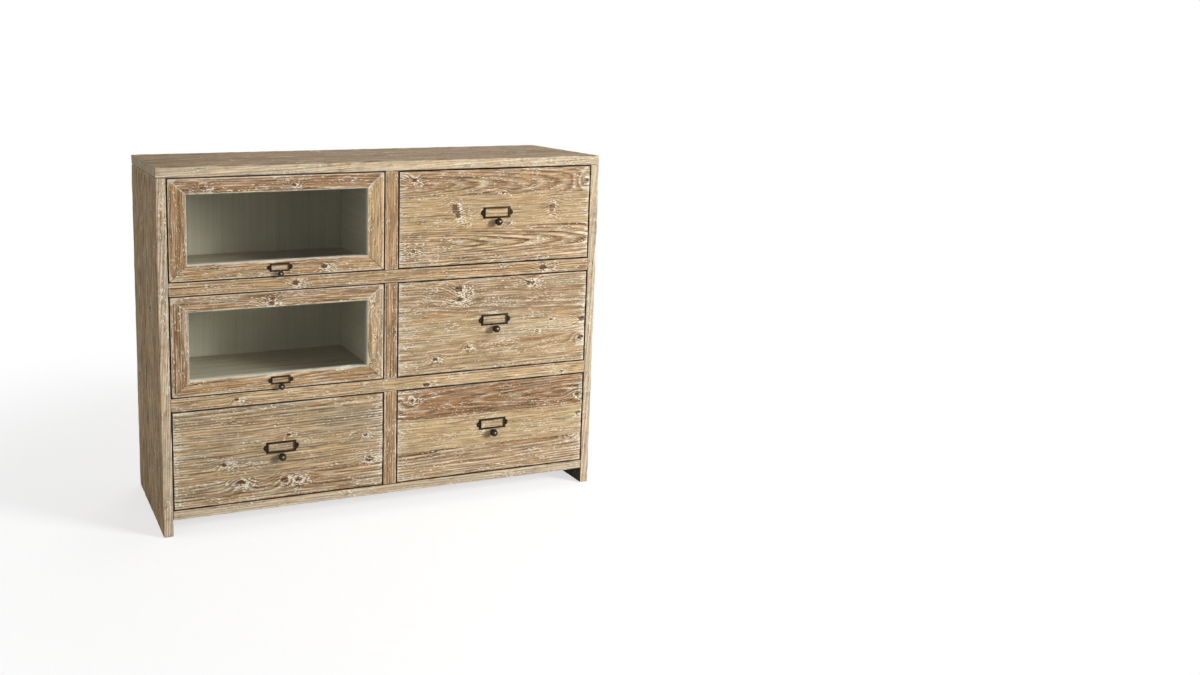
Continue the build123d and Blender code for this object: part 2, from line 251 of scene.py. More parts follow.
def looked_at(tree):
    """1 for rays that look at a thing, 0 for rays that carry light to it."""
    rays = add_node(tree, "ShaderNodeLightPath")
    looks = [Wire(rays, f"Is {kind} Ray") for kind in ("Camera", "Glossy", "Transmission")]
    either = calc("MAXIMUM", calc("MAXIMUM", looks[0], looks[1]), looks[2])
    return either * calc("LESS_THAN", Wire(rays, "Diffuse Depth"), 0.5)


world = bpy.data.worlds.new("pale studio")
scene.world = world
world.use_nodes = True
sky = world.node_tree
sky.nodes.clear()
strength = looked_at(sky) * (1.0 - ROOM_LIGHT) + ROOM_LIGHT
room = wired(sky, "ShaderNodeBackground", {"Color": WHITE, "Strength": strength})
add_node(sky, "ShaderNodeOutputWorld", {"Surface": room})
print("world", world.name, len(sky.nodes), "nodes")

# %% [markdown]
# Grain, knots and limewash are the same thing on every board of the chest. Each is a node group, built
# once and then placed in every material that needs it with that material's own values, like a stamp.

# %% Making and using node groups
def shader_group(name, vector, *values):
    """An empty node group, and its inputs as wires: one vector, then plain values."""
    group = bpy.data.node_groups.new(name, "ShaderNodeTree")
    kinds = {vector: "NodeSocketVector", **dict.fromkeys(values, "NodeSocketFloat")}
    for socket, kind in kinds.items():
        group.interface.new_socket(name=socket, in_out="INPUT", socket_type=kind)
    start = group.nodes.new("NodeGroupInput")
    return group, [Wire(start, socket) for socket in kinds]


def deliver(group, **results):
    """Gives a group its outputs, each a value under its own name."""
    for name in results:
        group.interface.new_socket(name=name, in_out="OUTPUT", socket_type="NodeSocketFloat")
    add_node(group, "NodeGroupOutput", results)
    print("group", group.name, "gives", *results)


def use(group, inputs):
    """Places a group in the tree that its inputs come from, and gives its outputs by name."""
    node = add_node(tree_of(inputs.values()), "ShaderNodeGroup", inputs, node_tree=group)
    return {socket.name: Wire(node, socket.name) for socket in node.outputs}


print("groups so far", len(bpy.data.node_groups))

# %% [markdown]
# A knot is the foot of a branch, cut through. It shows as a dark round core with a pale rim, and the
# grain of the board flows around it. The group below reads how far a point is from the knot, in knot
# sizes, which each board carries as an attribute. It hands on how far the rings are bent, how dark the
# core is and how wide the halo of trapped limewash reaches, so that several knots can be chained.

# %% Knot group
knot_group, (place, ragged, bend, core, halo, rim) = shader_group(
    "knot", "Place", "Ragged", "Bend", "Core", "Halo", "Rim")
x, y, present = split(place)
flat = x * 0.66
squares = flat * flat + y * y
torn = ragged * 1.3 - 0.65
away = calc("SQRT", squares) + torn
round_knot = calc("MAXIMUM", present, 0.0)
is_knot = ease(round_knot, 0.0, 0.4)
own_core = ease(away, 1.0, 0.6) * calc("ABSOLUTE", present)
own_rim = ease(away, 0.75, 1.0) * ease(away, 1.6, 1.1) * is_knot
fan_x = x * 0.45 - 0.9
fan_y = y * 0.75 + 0.5
fan = calc("SQRT", fan_x * fan_x + fan_y * fan_y) + torn
own_halo = ease(fan, 2.2, 0.9) * round_knot
own_bend = calc("EXPONENT", squares * -0.2) * is_knot
deliver(knot_group, Bend=bend + own_bend, Core=calc("MAXIMUM", core, own_core),
        Halo=calc("MAXIMUM", halo, own_halo), Rim=calc("MAXIMUM", rim, own_rim))

# %% [markdown]
# Pine shows the rings of the tree. Each year is a broad pale band and a narrow dark line, and a board cut
# beside the middle of the log shows them as long pointed arches. A picture of grain would repeat and would
# not turn the corner onto the end of a board. So the rings are worked out in three dimensions, as distance
# from the middle of the log, with a little wandering. Lengths inside this group are millimetres.

# %% Growth ring group
ring_group, (grain, bend, spacing) = shader_group("growth rings", "Grain", "Bend", "Spacing")
x, y, z = split(grain)
slow = noise(grain, (420, 70, 70), 1) * 14.0
quick = noise(grain, (200, 14, 14), 3) * 2.4
radius = calc("SQRT", y * y + z * z) + slow + quick + bend * 16.0
along_radius = wired(ring_group, "ShaderNodeCombineXYZ", {0: radius})
wide = noise(along_radius, (30, 30, 30), 1) * 12.0
years = calc("DIVIDE", wide + radius, spacing)
year = calc("FRACT", years)
strong = chance_of(calc("FLOOR", years))
late = ease(year, 0.5, 0.86) * ease(year, 1.0, 0.94) * ease(strong, 0.0, 1.0, 0.35, 1.0)
seam = ease(year, 0.0, 0.12) * ease(year, 0.5, 0.25)
band = ease(noise(along_radius, (14, 14, 14), 2, 0.6), 0.3, 0.7)
deliver(ring_group, Late=late, Early=1.0 - late, Seam=seam, Band=band)

# %% [markdown]
# A wire brush tears the soft wood out and leaves fine furrows along the grain. This group gives that in
# several sizes: hair-fine fibres, short furrows, streaks a hand long, and the broad patches where the
# wood has turned grey or rosy.

# %% Brushed fibre group
fibre_group, (grain,) = shader_group("brushed fibres", "Grain")
deliver(
    fibre_group,
    Fine=ease(noise(grain, (60, 4.0, 4.0), 3, 0.7), 0.3, 0.7),
    Streak=ease(noise(grain, (460, 6.0, 6.0), 4, 0.6), 0.34, 0.66),
    Furrow=ease(noise(grain, (52, 3.3, 3.3), 2, 0.5), 0.59, 0.67),
    Patch=ease(noise(grain, (170, 34, 34), 4, 0.6), 0.4, 0.64),
    Blush=ease(noise(grain, (260, 13, 13), 3, 0.6), 0.45, 0.66),
)

# %% [markdown]
# Limewash is rubbed on and wiped off again. It stays in the brushed-out furrows as short cream flecks, in
# clusters, most of all around knots and along the edges, and it leaves a thin milky film elsewhere. Each
# kind is noise cut off at a level, and the level is lowered wherever more of it should show.

# %% Limewash group
lime_group, (grain, seam, core, rim, halo, wear, amount) = shader_group(
    "limewash", "Grain", "Seam", "Core", "Rim", "Halo", "Wear", "Amount")
near_edge = ease(wear, 20.0, 1.0)
cluster = ease(noise(grain, (80, 26, 26), 2), 0.40, 0.68)
level = 0.752 - cluster * 0.11 - near_edge * 0.02 - seam * 0.045 - amount * 0.04
fleck = ease(noise(grain, (8.5, 2.1, 2.1), 1.6, 0.4) - level, 0.0, 0.02)
around = calc("MAXIMUM", halo, rim)
crumb = noise(grain, (6.5, 2.8, 2.8), 1.8)
white_crumb = ease(crumb - (0.74 - halo * 0.2 - rim * 0.1), 0.0, 0.03)
white_crumb = white_crumb * (ease(around, 0.0, 0.2) * (1.0 - core * 1.2).clamped())
strand_level = 0.70 - amount * 0.035 - near_edge * 0.05 - seam * 0.06
strands = ease(noise(grain, (110, 2.8, 2.8), 2, 0.55) - strand_level, 0.0, 0.04)
film = ease(noise(grain, (130, 7, 7), 4, 0.65), 0.42, 0.66)
deliver(lime_group, Flecks=calc("MAXIMUM", fleck, white_crumb), Strands=strands, Film=film,
        Crumbs=ease(crumb, 0.42, 0.36) * around)

# %% [markdown]
# The edges of old boards are rounded and rubbed pale, but never evenly. This group turns the distance to
# the nearest arris, which each board carries as an attribute in millimetres, into a broken pale line.

# %% Edge wear group
edge_group, (grain, wear) = shader_group("edge wear", "Grain", "Wear")
reach = noise(grain, (22, 22, 22), 3, 0.6) * 8.0 - 1.6
deliver(edge_group, Rubbed=ease(wear - reach, 1.2, -1.0))

# %% [markdown]
# The boards carry what differs from plank to plank as attributes: where they lay in the log, how brown, grey
# and limed they are, where they are painted or carry painted shade, and their knots. The function below reads
# all that and places the groups, so that the steps of the finish can each take what they need.

# %% What a board tells its material
KNOT_SLOTS = ("knot_a", "knot_b", "knot_c", "knot_d")


def own_value(tree, name, output="Fac"):
    """An attribute that the piece carries."""
    return wired(tree, "ShaderNodeAttribute", None, output, attribute_name=name)


def chained_knots(grain, places):
    """Several knots, each handing its results on to the next."""
    ragged = noise(grain, (7, 5, 5), 3)
    knots = {"Bend": 0.0, "Core": 0.0, "Halo": 0.0, "Rim": 0.0}
    for place in places:
        knots = use(knot_group, {"Place": place, "Ragged": ragged, **knots})
    return knots


def read_board(tree, lime_amount, spacing):
    """What the attributes and the groups say about the board at a point."""
    board = SimpleNamespace()
    grain, wear = own_value(tree, "grain", "Vector"), own_value(tree, "wear")
    board.brownness, board.greyness, limed = split(own_value(tree, "tone", "Vector"))
    board.painted_part, board.grimy, board.lined = split(own_value(tree, "coat", "Vector"))
    board.amount = limed * lime_amount
    knots = chained_knots(grain, [own_value(tree, slot, "Vector") for slot in KNOT_SLOTS])
    board.rings = use(ring_group, {"Grain": grain, "Bend": knots["Bend"], "Spacing": spacing})
    board.fibres = use(fibre_group, {"Grain": grain})
    around = {key: knots[key] for key in ("Core", "Rim", "Halo")}
    board.washed = use(lime_group, {"Grain": grain, "Seam": board.rings["Seam"], "Wear": wear,
                                    "Amount": board.amount, **around})
    board.rubbed = use(edge_group, {"Grain": grain, "Wear": wear})["Rubbed"]
    board.ring_show = knots["Bend"] * 0.8 + board.lined
    board.late_wood = board.rings["Late"] * board.ring_show
    board.heart = calc("MAXIMUM", knots["Core"], board.washed["Crumbs"] * 0.6)
    return board


print("a board carries grain, wear, tone, coat,", *KNOT_SLOTS)

# %% [markdown]
# The wood comes first. Early wood is pale, late wood dark, and over them lie the plank's own brown or
# paleness, the rosy tinge of the heart and the grey of age. They are laid over one another like thin
# stains, from the inside of the board outwards, because that's how they came.

# %% Colour of the wood
GREY = srgb(148, 135, 110)
PALE = srgb(205, 175, 131)
ROSY = srgb(186, 140, 106)


def wood_colour(board, light, late_colour, brown):
    """The bare plank."""
    lines = board.late_wood * ease(board.fibres["Streak"], 0.0, 1.0, 0.75, 1.0)
    colour = mixed(lines.clamped(), light, late_colour)
    browner = board.rings["Band"] * 0.55 + board.brownness - 0.15
    colour = mixed(browner.clamped(), colour, brown)
    colour = mixed((board.brownness * -1.0).clamped(), colour, PALE)
    rosy = (0.36 - board.greyness * 0.25).clamped()
    colour = mixed(board.fibres["Blush"] * rosy, colour, ROSY)
    return mixed(board.fibres["Patch"] * (board.greyness * 0.7 + 0.1), colour, GREY)


print("stains", [round(stain[0], 3) for stain in (GREY, PALE, ROSY)])

# %% [markdown]
# Brushing and handling come next. Milky film stays on the soft wood, and dirt gathers beside the ring lines.
# The furrows are darkened with dirt and painted shade, and the torn fibres make fine light and dark streaks.
# The hearts of the knots go on last, because they stay dark under all of that.

# %% Colour of the brushed board
KNOT = srgb(66, 42, 27)
KNOT_FIBRE = srgb(118, 80, 50)


def brushed_colour(board, colour):
    """The plank after the wire brush and a first thin wash."""
    film, fibres = board.washed["Film"], board.fibres
    colour = mixed(film * (board.amount * 0.24) * board.rings["Early"], colour, LIME)
    soft = board.rings["Seam"] * ease(film, 0.0, 1.0, 0.3, 1.0) * (board.ring_show * (board.amount * 0.5))
    colour = mixed(soft.clamped(), colour, LIME)
    dirty = ease(fibres["Streak"], 0.5, 0.95) * (board.late_wood * 0.75)
    # Dirt beside the ring lines, and painted shade in the furrows, where their pits would be dark.
    colour = mixed(calc("MAXIMUM", dirty, fibres["Furrow"] * 0.55), colour, DIRT_AND_FURROW_SHADE)
    fine = (fibres["Fine"] - 0.5) * (board.lined * 0.28 + 0.42) + 0.95
    streaky = (0.5 - fibres["Streak"]) * (board.lined * 0.36) + 0.98
    shade = wired(fine.tree, "ShaderNodeCombineColor", dict.fromkeys(range(3), fine * streaky))
    colour = mixed(1.0, colour, shade, "MULTIPLY")
    return mixed(board.heart * 0.9, colour, mixed(fibres["Fine"], KNOT, KNOT_FIBRE))


print("hearts of knots", [round(tint[0], 3) for tint in (KNOT, KNOT_FIBRE)])

# %% [markdown]
# The last coats are painted shade, lime and paint. Faces that look into a gap are darkened brown with painted
# shade and have caught little lime. The insides of the feet are painted a bluish shadow grey. Everywhere else
# the lime sits on the rubbed edges, in long strands and in flecks, and some parts are painted over.

# %% Colour of the finished board
# Painted shade: faces that look into the gaps are darkened with the first two colours, and the insides of the
# feet with the bluish shadow grey.
GAP_SHADE_DARKER = srgb(108, 82, 50)
GAP_SHADE_PALER = srgb(164, 130, 86)
FOOT_SHADOW_GREY = srgb(122, 132, 152)
LIME_LEFT_IN_GAPS = 0.15
STRAND_LIME = 0.55
FLECK_LIME = 0.92


def washed_colour(board, colour, edge_rub, paint_and_edge_highlight):
    """The plank with its painted shade in gaps and feet, its lime and its paint."""
    # Painted shade in the gaps and on the insides of the feet, multiplied over the wood.
    painted_shade_colour = mixed(board.fibres["Fine"], GAP_SHADE_DARKER, GAP_SHADE_PALER)
    painted_shade_colour = mixed((board.grimy - 1.0).clamped(), painted_shade_colour, FOOT_SHADOW_GREY)
    in_gap = (board.grimy * 1.0).clamped()
    colour = mixed(in_gap, colour, painted_shade_colour, "MULTIPLY")
    open_face = 1.0 - in_gap * (1.0 - LIME_LEFT_IN_GAPS)
    washed = board.washed
    for lime in (board.rubbed * edge_rub, washed["Strands"] * STRAND_LIME, washed["Flecks"] * FLECK_LIME):
        colour = mixed(lime * open_face, colour, LIME)
    worn_paint = tuple(0.85 * paint + 0.15 * dirt for paint, dirt in zip(paint_and_edge_highlight, DIRT_AND_FURROW_SHADE))
    return mixed(board.painted_part, colour, mixed(board.fibres["Fine"], worn_paint, paint_and_edge_highlight))


print("painted_shade_colour", [round(tint[0], 3) for tint in (GAP_SHADE_DARKER, GAP_SHADE_PALER, FOOT_SHADOW_GREY)])

# %% [markdown]
# The case, the drawer fronts and the flaps are the same wood in different lots, so one function builds
# their material with its own colours. Late wood stands proud after brushing and soft wood is torn, which
# the light shows more than any colour does. That relief is far too fine to model, so a Bump node gives it.

# %% Limed pine materials
def new_material(name):
    material = bpy.data.materials.new(name)
    material.use_nodes = True
    material.node_tree.nodes.clear()
    return material, material.node_tree


def surface(tree, inputs):
    """Puts a Principled shader on the material's output."""
    shader = wired(tree, "ShaderNodeBsdfPrincipled", inputs)
    add_node(tree, "ShaderNodeOutputMaterial", {"Surface": shader})


def bumped(height, depth, strength=0.5):
    """The normal of a relief that is so many metres deep."""
    return wired(height.tree, "ShaderNodeBump", {"Height": height, "Distance": depth, "Strength": strength})


def limed_pine(name, light, late_colour, brown, lime_amount, paint_and_edge_highlight=PAINT, edge_rub=0.3, spacing=6.0):
    material, tree = new_material(name)
    board = read_board(tree, lime_amount, spacing)
    flecks, fibres = board.washed["Flecks"], board.fibres
    colour = brushed_colour(board, wood_colour(board, light, late_colour, brown))
    height = board.rings["Late"] * 0.6 + fibres["Fine"] * 0.5 - fibres["Furrow"] * 0.6
    surface(tree, {
        "Base Color": washed_colour(board, colour, edge_rub, paint_and_edge_highlight),
        "Roughness": ease(flecks, 0.0, 1.0, 0.78, 0.92),
        "Specular IOR Level": 0.12,
        "Normal": bumped(height + flecks * 0.3 - board.heart * 0.6, 0.0008, 0.6),
    })
    return material


case_pine = limed_pine("limed pine case", srgb(213, 184, 138), srgb(138, 100, 66), srgb(164, 125, 84), 0.75)
front_pine = limed_pine("limed pine fronts", srgb(213, 184, 137), srgb(132, 94, 60), srgb(158, 118, 79), 1.0)
# The flaps' paint is near-white, whiter than the paint inside, as a painted highlight on the narrow edge
# beside the glass.
flap_pine = limed_pine("limed pine flaps", srgb(206, 168, 114), srgb(124, 86, 52), srgb(152, 110, 66), 0.8,
                       paint_and_edge_highlight=srgb(240, 240, 232), edge_rub=0.5, spacing=3.6)
print("materials", case_pine.name, front_pine.name, flap_pine.name)

# %% [markdown]
# The drawer boxes are bare planed pine. They are CAD nodes whose shapes are already right, and nothing is
# written on their meshes, so their material can't read a grain attribute. It reads Object coordinates, and
# a Mapping node turns them to lie along the grain and counts them in millimetres.

# %% Bare pine
MM_PER_METRE = 1000.0
OFF_THE_HEART = (37.0, 90.0, 55.0)
TURNS = {"X": (0.0, 0.0, 0.0), "Y": (0.0, 0.0, math.radians(-90)), "Z": (0.0, math.radians(90), 0.0)}


def object_place(tree):
    return wired(tree, "ShaderNodeTexCoord", None, "Object")


def turned_grain(tree, along):
    """Object coordinates in millimetres, with x along the grain."""
    inputs = {"Vector": object_place(tree), "Scale": (MM_PER_METRE,) * 3, "Rotation": TURNS[along],
              "Location": OFF_THE_HEART}
    return wired(tree, "ShaderNodeMapping", inputs)


def rings_and_fibres(grain, bend, spacing):
    rings = use(ring_group, {"Grain": grain, "Bend": bend, "Spacing": spacing})
    return rings, use(fibre_group, {"Grain": grain})


def bare_colour(rings, fibres):
    """Planed pine with no finish."""
    colour = mixed(rings["Late"] * 0.7, srgb(210, 182, 140), srgb(162, 120, 80))
    colour = mixed(rings["Band"] * 0.35, colour, srgb(184, 150, 108))
    return mixed(fibres["Fine"] * 0.25, colour, srgb(160, 132, 98))


def bare_pine(name, along):
    material, tree = new_material(name)
    rings, fibres = rings_and_fibres(turned_grain(tree, along), 0.0, 6.0)
    surface(tree, {
        "Base Color": bare_colour(rings, fibres),
        "Roughness": ease(fibres["Fine"], 0.0, 1.0, 0.62, 0.74),
        "Specular IOR Level": 0.15,
        "Normal": bumped(rings["Late"] * 0.3 + fibres["Fine"] * 0.3, 0.0003),
    })
    return material


bare = {axis: bare_pine("bare pine along " + axis, axis) for axis in "XY"}
print("materials", [m.name for m in bare.values()])

# %% [markdown]
# The back is nine upright boards side by side in one CAD node. Left alone, one grain would run through all of
# them. So each board gets a number from its place, the number gives it a piece of log of its own, and a few
# knots are listed where the boards would have them.

# %% Boards and knots of the back
BACK_BOARD_COUNT = 9
BACK_LOG_STEP = (3000.0, 90.0, 0.0)
BACK_KNOTS = ((-470, 640, 7), (-300, 250, 9), (-40, 760, 8), (120, 420, 6), (250, 130, 7), (390, 590, 10))
back_low, back_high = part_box("back_boards")
back_board_width = (back_high.x - back_low.x) / BACK_BOARD_COUNT


def board_chance(tree):
    """A chance number for each of the back boards."""
    from_first = split(object_place(tree))[0] - back_low.x
    return chance_of(calc("FLOOR", calc("DIVIDE", from_first, back_board_width)))


def upright_knots(tree, grain):
    """The knots of the back, each at x and z with its size in millimetres."""
    x, y, z = split(object_place(tree))
    flat = wired(tree, "ShaderNodeCombineXYZ", {0: z, 1: x})
    places = []
    for knot_x, knot_z, size in BACK_KNOTS:
        scale = MM_PER_METRE / size
        inputs = {0: flat, 1: (scale, scale, 0.0), 2: (-knot_z / size, -knot_x / size, 1.0)}
        places.append(wired(tree, "ShaderNodeVectorMath", inputs, operation="MULTIPLY_ADD"))
    return chained_knots(grain, places)


print("back boards", BACK_BOARD_COUNT, "each", round(back_board_width, 4))

# %% [markdown]
# The boards inside the glazed compartments are painted a thin pale grey-green, brushed on so thin that the
# ring lines show through. The paint ends where the eye can't reach: the back is bare outside, and so is
# the side of the partition that faces the drawers. A level across the board says where.

# %% Painted pine
def painted_pine(name, along, coat, bare_beyond=None, boards=False):
    """Thin paint over pine; coat is how well it hides the wood, bare_beyond an axis and a level."""
    material, tree = new_material(name)
    grain, knots = turned_grain(tree, along), {"Bend": 0.0}
    if boards:
        number = board_chance(tree)
        inputs = {0: BACK_LOG_STEP, "Scale": number}
        shift = wired(tree, "ShaderNodeVectorMath", inputs, operation="SCALE")
        grain = wired(tree, "ShaderNodeVectorMath", {0: grain, 1: shift}, operation="ADD")
        knots = upright_knots(tree, grain)
    rings, fibres = rings_and_fibres(grain, knots["Bend"], 7.0)
    wood = mixed(rings["Late"], srgb(190, 178, 150), srgb(134, 118, 94))
    wood = mixed(fibres["Patch"], wood, srgb(166, 158, 136))
    hidden = (rings["Late"] * -0.15 + coat - fibres["Fine"] * 0.2).clamped()
    if bare_beyond:
        axis, level = bare_beyond
        painted_side = calc("LESS_THAN", split(object_place(tree))[axis], level)
        bare_wood = bare_colour(rings, fibres)
        if boards:
            tint = mixed(number, srgb(255, 252, 244), srgb(216, 206, 192))
            bare_wood = mixed(1.0, bare_wood, tint, "MULTIPLY")
            bare_wood = mixed(knots["Core"] * 0.85, bare_wood, srgb(110, 70, 42))
        hidden = hidden * painted_side
        wood = mixed(painted_side, bare_wood, wood)
    surface(tree, {
        "Base Color": mixed(hidden, wood, mixed(fibres["Streak"], srgb(200, 195, 176), PAINT)),
        "Roughness": ease(fibres["Fine"], 0.0, 1.0, 0.6, 0.75),
        "Specular IOR Level": 0.15,
        "Normal": bumped(rings["Late"] * 0.4 + fibres["Fine"] * 0.4, 0.0004),
    })
    return material


painted_shelf = painted_pine("painted shelf", "X", 0.48)
painted_back = painted_pine("painted back", "Z", 1.25, (1, back_low.y + 0.002), boards=True)
painted_partition = painted_pine("painted partition", "Y", 1.2, (0, 0.0))
print("materials", painted_shelf.name, painted_back.name, painted_partition.name)

# %% [markdown]
# The panes are thin and faintly green, with a little dust towards their rims. Real glass lets lamp light
# through, but a renderer would treat a pane as a wall for the rays from its lamps, so those rays pass a
# Transparent shader. The pale room would lie as a veil over dark compartments, so the reflection is dimmed.

# %% Glass
def pane_glass():
    material, tree = new_material("pane glass")
    dust = noise(object_place(tree), (0.03, 0.03, 0.03), 4)
    pane = wired(tree, "ShaderNodeBsdfPrincipled", {
        "Base Color": srgb(250, 251, 249),
        "Roughness": ease(dust, 0.35, 0.8, 0.0, 0.03),
        "IOR": 1.45,
        "Specular Tint": (0.16, 0.16, 0.16, 1.0),
        "Transmission Weight": 1.0,
    })
    clear = wired(tree, "ShaderNodeBsdfTransparent", {"Color": srgb(246, 248, 246)})
    lamp_ray = wired(tree, "ShaderNodeLightPath", None, "Is Shadow Ray")
    both = wired(tree, "ShaderNodeMixShader", {0: lamp_ray, 1: pane, 2: clear})
    add_node(tree, "ShaderNodeOutputMaterial", {"Surface": both})
    return material


glass = pane_glass()
print("material", glass.name)

# %% [markdown]
# The fittings are bronze, patinated nearly black and rubbed back on the high points. The knobs are polished by
# fingers and have a clear coat, and a pale spot near the front of each ball is a painted highlight; one
# attribute on the pieces carries both. The nails and pivot pins are plain steel with a few stains.

# %% Bronze and steel
def dark_bronze():
    material, tree = new_material("dark bronze")
    patina = noise(turned_grain(tree, "X"), (4, 4, 4), 4, 0.65)
    polish_and_highlight = own_value(tree, "polish_and_highlight")
    rubbed = ease(patina * 1.6 + own_value(tree, "wear"), 1.35, 0.75)
    colour = mixed(ease(patina, 0.35, 0.7), srgb(24, 19, 13), srgb(48, 39, 26))
    colour = mixed(rubbed * 0.45, colour, srgb(96, 74, 48))
    surface(tree, {
        # The pale spot, where the attribute is near 1, is a painted highlight on the knob's ball.
        "Base Color": mixed(ease(polish_and_highlight, 0.8, 1.0), colour, srgb(184, 166, 138)),
        "Metallic": 0.85,
        "Roughness": ease(patina, 0.3, 0.75, 0.4, 0.6),
        "Coat Weight": ease(polish_and_highlight, 0.0, 0.2) * 0.35,
        "Coat Roughness": 0.03,
        "Normal": bumped(patina, 0.0002, 0.3),
    })
    return material


def plain_steel():
    material, tree = new_material("plain steel")
    stain = noise(turned_grain(tree, "X"), (5, 5, 5), 4, 0.65)
    surface(tree, {
        "Base Color": mixed(ease(stain, 0.45, 0.75), srgb(150, 148, 144), srgb(96, 78, 62)),
        "Metallic": 0.9,
        "Roughness": ease(stain, 0.3, 0.8, 0.32, 0.6),
    })
    return material


bronze, steel = dark_bronze(), plain_steel()
print("materials", bronze.name, steel.name)

# %% [markdown]
# Operators act on all that is selected, just as the tools on the screen do. So every piece starts with
# nothing selected, and faces and edges are then picked by where they are. Picking is done in object mode,
# because only there does the mesh show what the last operator made.

# %% Starting a piece and picking its parts
def edit_mode():
    bpy.ops.object.mode_set(mode="EDIT")


def object_mode():
    bpy.ops.object.mode_set(mode="OBJECT")


def only(piece):
    """Selects one object and nothing else."""
    bpy.ops.object.select_all(action="DESELECT")
    piece.select_set(True)
    bpy.context.view_layer.objects.active = piece


def start_from(primitive, place, scale=(1.0, 1.0, 1.0), **settings):
    """Adds a primitive with nothing else selected, and settles its place and scale in its mesh."""
    bpy.ops.object.select_all(action="DESELECT")
    primitive(location=place, **settings)
    piece = bpy.context.object
    piece.scale = scale
    bpy.ops.object.transform_apply(location=True, rotation=True, scale=True)
    return piece


def select_where(piece, kind, test):
    """In edit mode, selects the vertices, edges or faces whose points pass a test."""
    bpy.ops.mesh.select_mode(type=kind)
    bpy.ops.mesh.select_all(action="DESELECT")
    object_mode()
    mesh = piece.data
    parts = {"VERT": mesh.vertices, "EDGE": mesh.edges, "FACE": mesh.polygons}[kind]
    points = [v.co for v in mesh.vertices]
    for part in parts:
        ends = [part.index] if kind == "VERT" else part.vertices
        part.select = test([points[i] for i in ends])
    edit_mode()


print("nothing is made yet:", len(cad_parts), "CAD nodes")

# %% [markdown]
# Each board is modelled as a joiner would plane it. A cube would do for its shape, but the wear and the
# coats are kept on its points, and they need rows of them. So a grid primitive gives one broad face cut
# into small cells, and an extrude gives the thickness.

# %% Planks
CELL = 0.012
LYING = {
    0: ((0.0, math.radians(-90), 0.0), (2, 1)),
    1: ((math.radians(90), 0.0, 0.0), (0, 2)),
    2: ((0.0, 0.0, 0.0), (0, 1)),
}


def add_plank(low, high, cell=CELL):
    """A board between two corners, its broad faces cut into small cells."""
    low, high = Vector(low), Vector(high)
    size = high - low
    thin = min(range(3), key=lambda axis: size[axis])
    turn, (first, second) = LYING[thin]
    place = (low + high) / 2
    place[thin] = low[thin]
    board = start_from(bpy.ops.mesh.primitive_grid_add, place, (size[first], size[second], 1.0), rotation=turn,
                       size=1.0, x_subdivisions=max(2, round(size[first] / cell)),
                       y_subdivisions=max(2, round(size[second] / cell)))
    edit_mode()
    bpy.ops.mesh.select_all(action="SELECT")
    thickness = [0.0, 0.0, 0.0]
    thickness[thin] = size[thin]
    bpy.ops.mesh.extrude_region_move(TRANSFORM_OT_translate={"value": thickness})
    bpy.ops.mesh.select_all(action="SELECT")
    bpy.ops.mesh.normals_make_consistent(inside=False)
    object_mode()
    return board


print("a plank's cells are about", CELL, "m wide")

# %% [markdown]
# No arris on an old chest is sharp or straight. A bevel rounds the outer arrises broadly and the seams
# between glued planks barely. The rounded strips are kept as a vertex group, and a Displace modifier with
# a cloudy texture, held to that group, makes them waver as if worn by hand.

# %% Worn arrises
SHARP = math.radians(60)
PLANK_SEAM = 0.0003
WAVER = 0.9
worn_texture = bpy.data.textures.new("worn arris", "CLOUDS")
worn_texture.noise_scale = 0.03
worn_texture.noise_depth = 2
worn_texture.contrast = 1.6


def round_edges(board, is_arris, worn, seam):
    """Rounds the chosen edges broadly and every other sharp edge barely."""
    only(board)
    edit_mode()
    select_where(board, "EDGE", is_arris)
    bpy.ops.mesh.bevel(offset=worn, segments=3, profile=0.5, affect="EDGES")
    board.vertex_groups.new(name="arris")
    bpy.ops.object.vertex_group_assign()
    bpy.ops.mesh.select_all(action="DESELECT")
    bpy.ops.mesh.select_mode(type="EDGE")
    bpy.ops.mesh.edges_select_sharp(sharpness=SHARP)
    bpy.ops.mesh.bevel(offset=seam, segments=1, affect="EDGES")
    object_mode()


def on_arris(points, low, high):
    """True if an edge lies on one of the twelve edges of a box."""
    touched = 0
    for axis in range(3):
        for level in (low[axis], high[axis]):
            touched += all(abs(point[axis] - level) < 1e-5 for point in points)
    return touched >= 2


def soften(board, low, high, worn):
    """Wears a board that is part of the whole face between low and high."""
    round_edges(board, lambda points: on_arris(points, low, high), worn, PLANK_SEAM)
    waver = board.modifiers.new("worn", "DISPLACE")
    waver.texture = worn_texture
    waver.texture_coords = "LOCAL"
    waver.vertex_group = "arris"
    waver.mid_level = 1.0
    waver.strength = worn * WAVER
    bpy.ops.object.modifier_apply(modifier=waver.name)


print("texture", worn_texture.name)

# %% [markdown]
# Rebates are sawn out with a Boolean, whose cutter is thrown away.

# %% Cutting, joining and settling
SMOOTH_BELOW = math.radians(35)


def cut_box(piece, low, high):
    """Takes a box out of a piece."""
    low, high = Vector(low), Vector(high)
    cutter = start_from(bpy.ops.mesh.primitive_cube_add, (low + high) / 2, high - low, size=1.0)
    only(piece)
    cut = piece.modifiers.new("cut", "BOOLEAN")
    cut.operation = "DIFFERENCE"
    cut.solver = "EXACT"
    cut.object = cutter
    bpy.ops.object.modifier_apply(modifier=cut.name)
    bpy.data.objects.remove(cutter, do_unlink=True)


def joined(pieces, name):
    """Several objects as one piece."""
    bpy.ops.object.select_all(action="DESELECT")
    for piece in pieces:
        piece.select_set(True)
    piece = bpy.context.view_layer.objects.active = pieces[0]
    if len(pieces) > 1:
        bpy.ops.object.join()
    piece.name = piece.data.name = name
    piece.vertex_groups.clear()
    only(piece)
    bpy.ops.object.shade_smooth_by_angle(angle=SMOOTH_BELOW)
    return piece


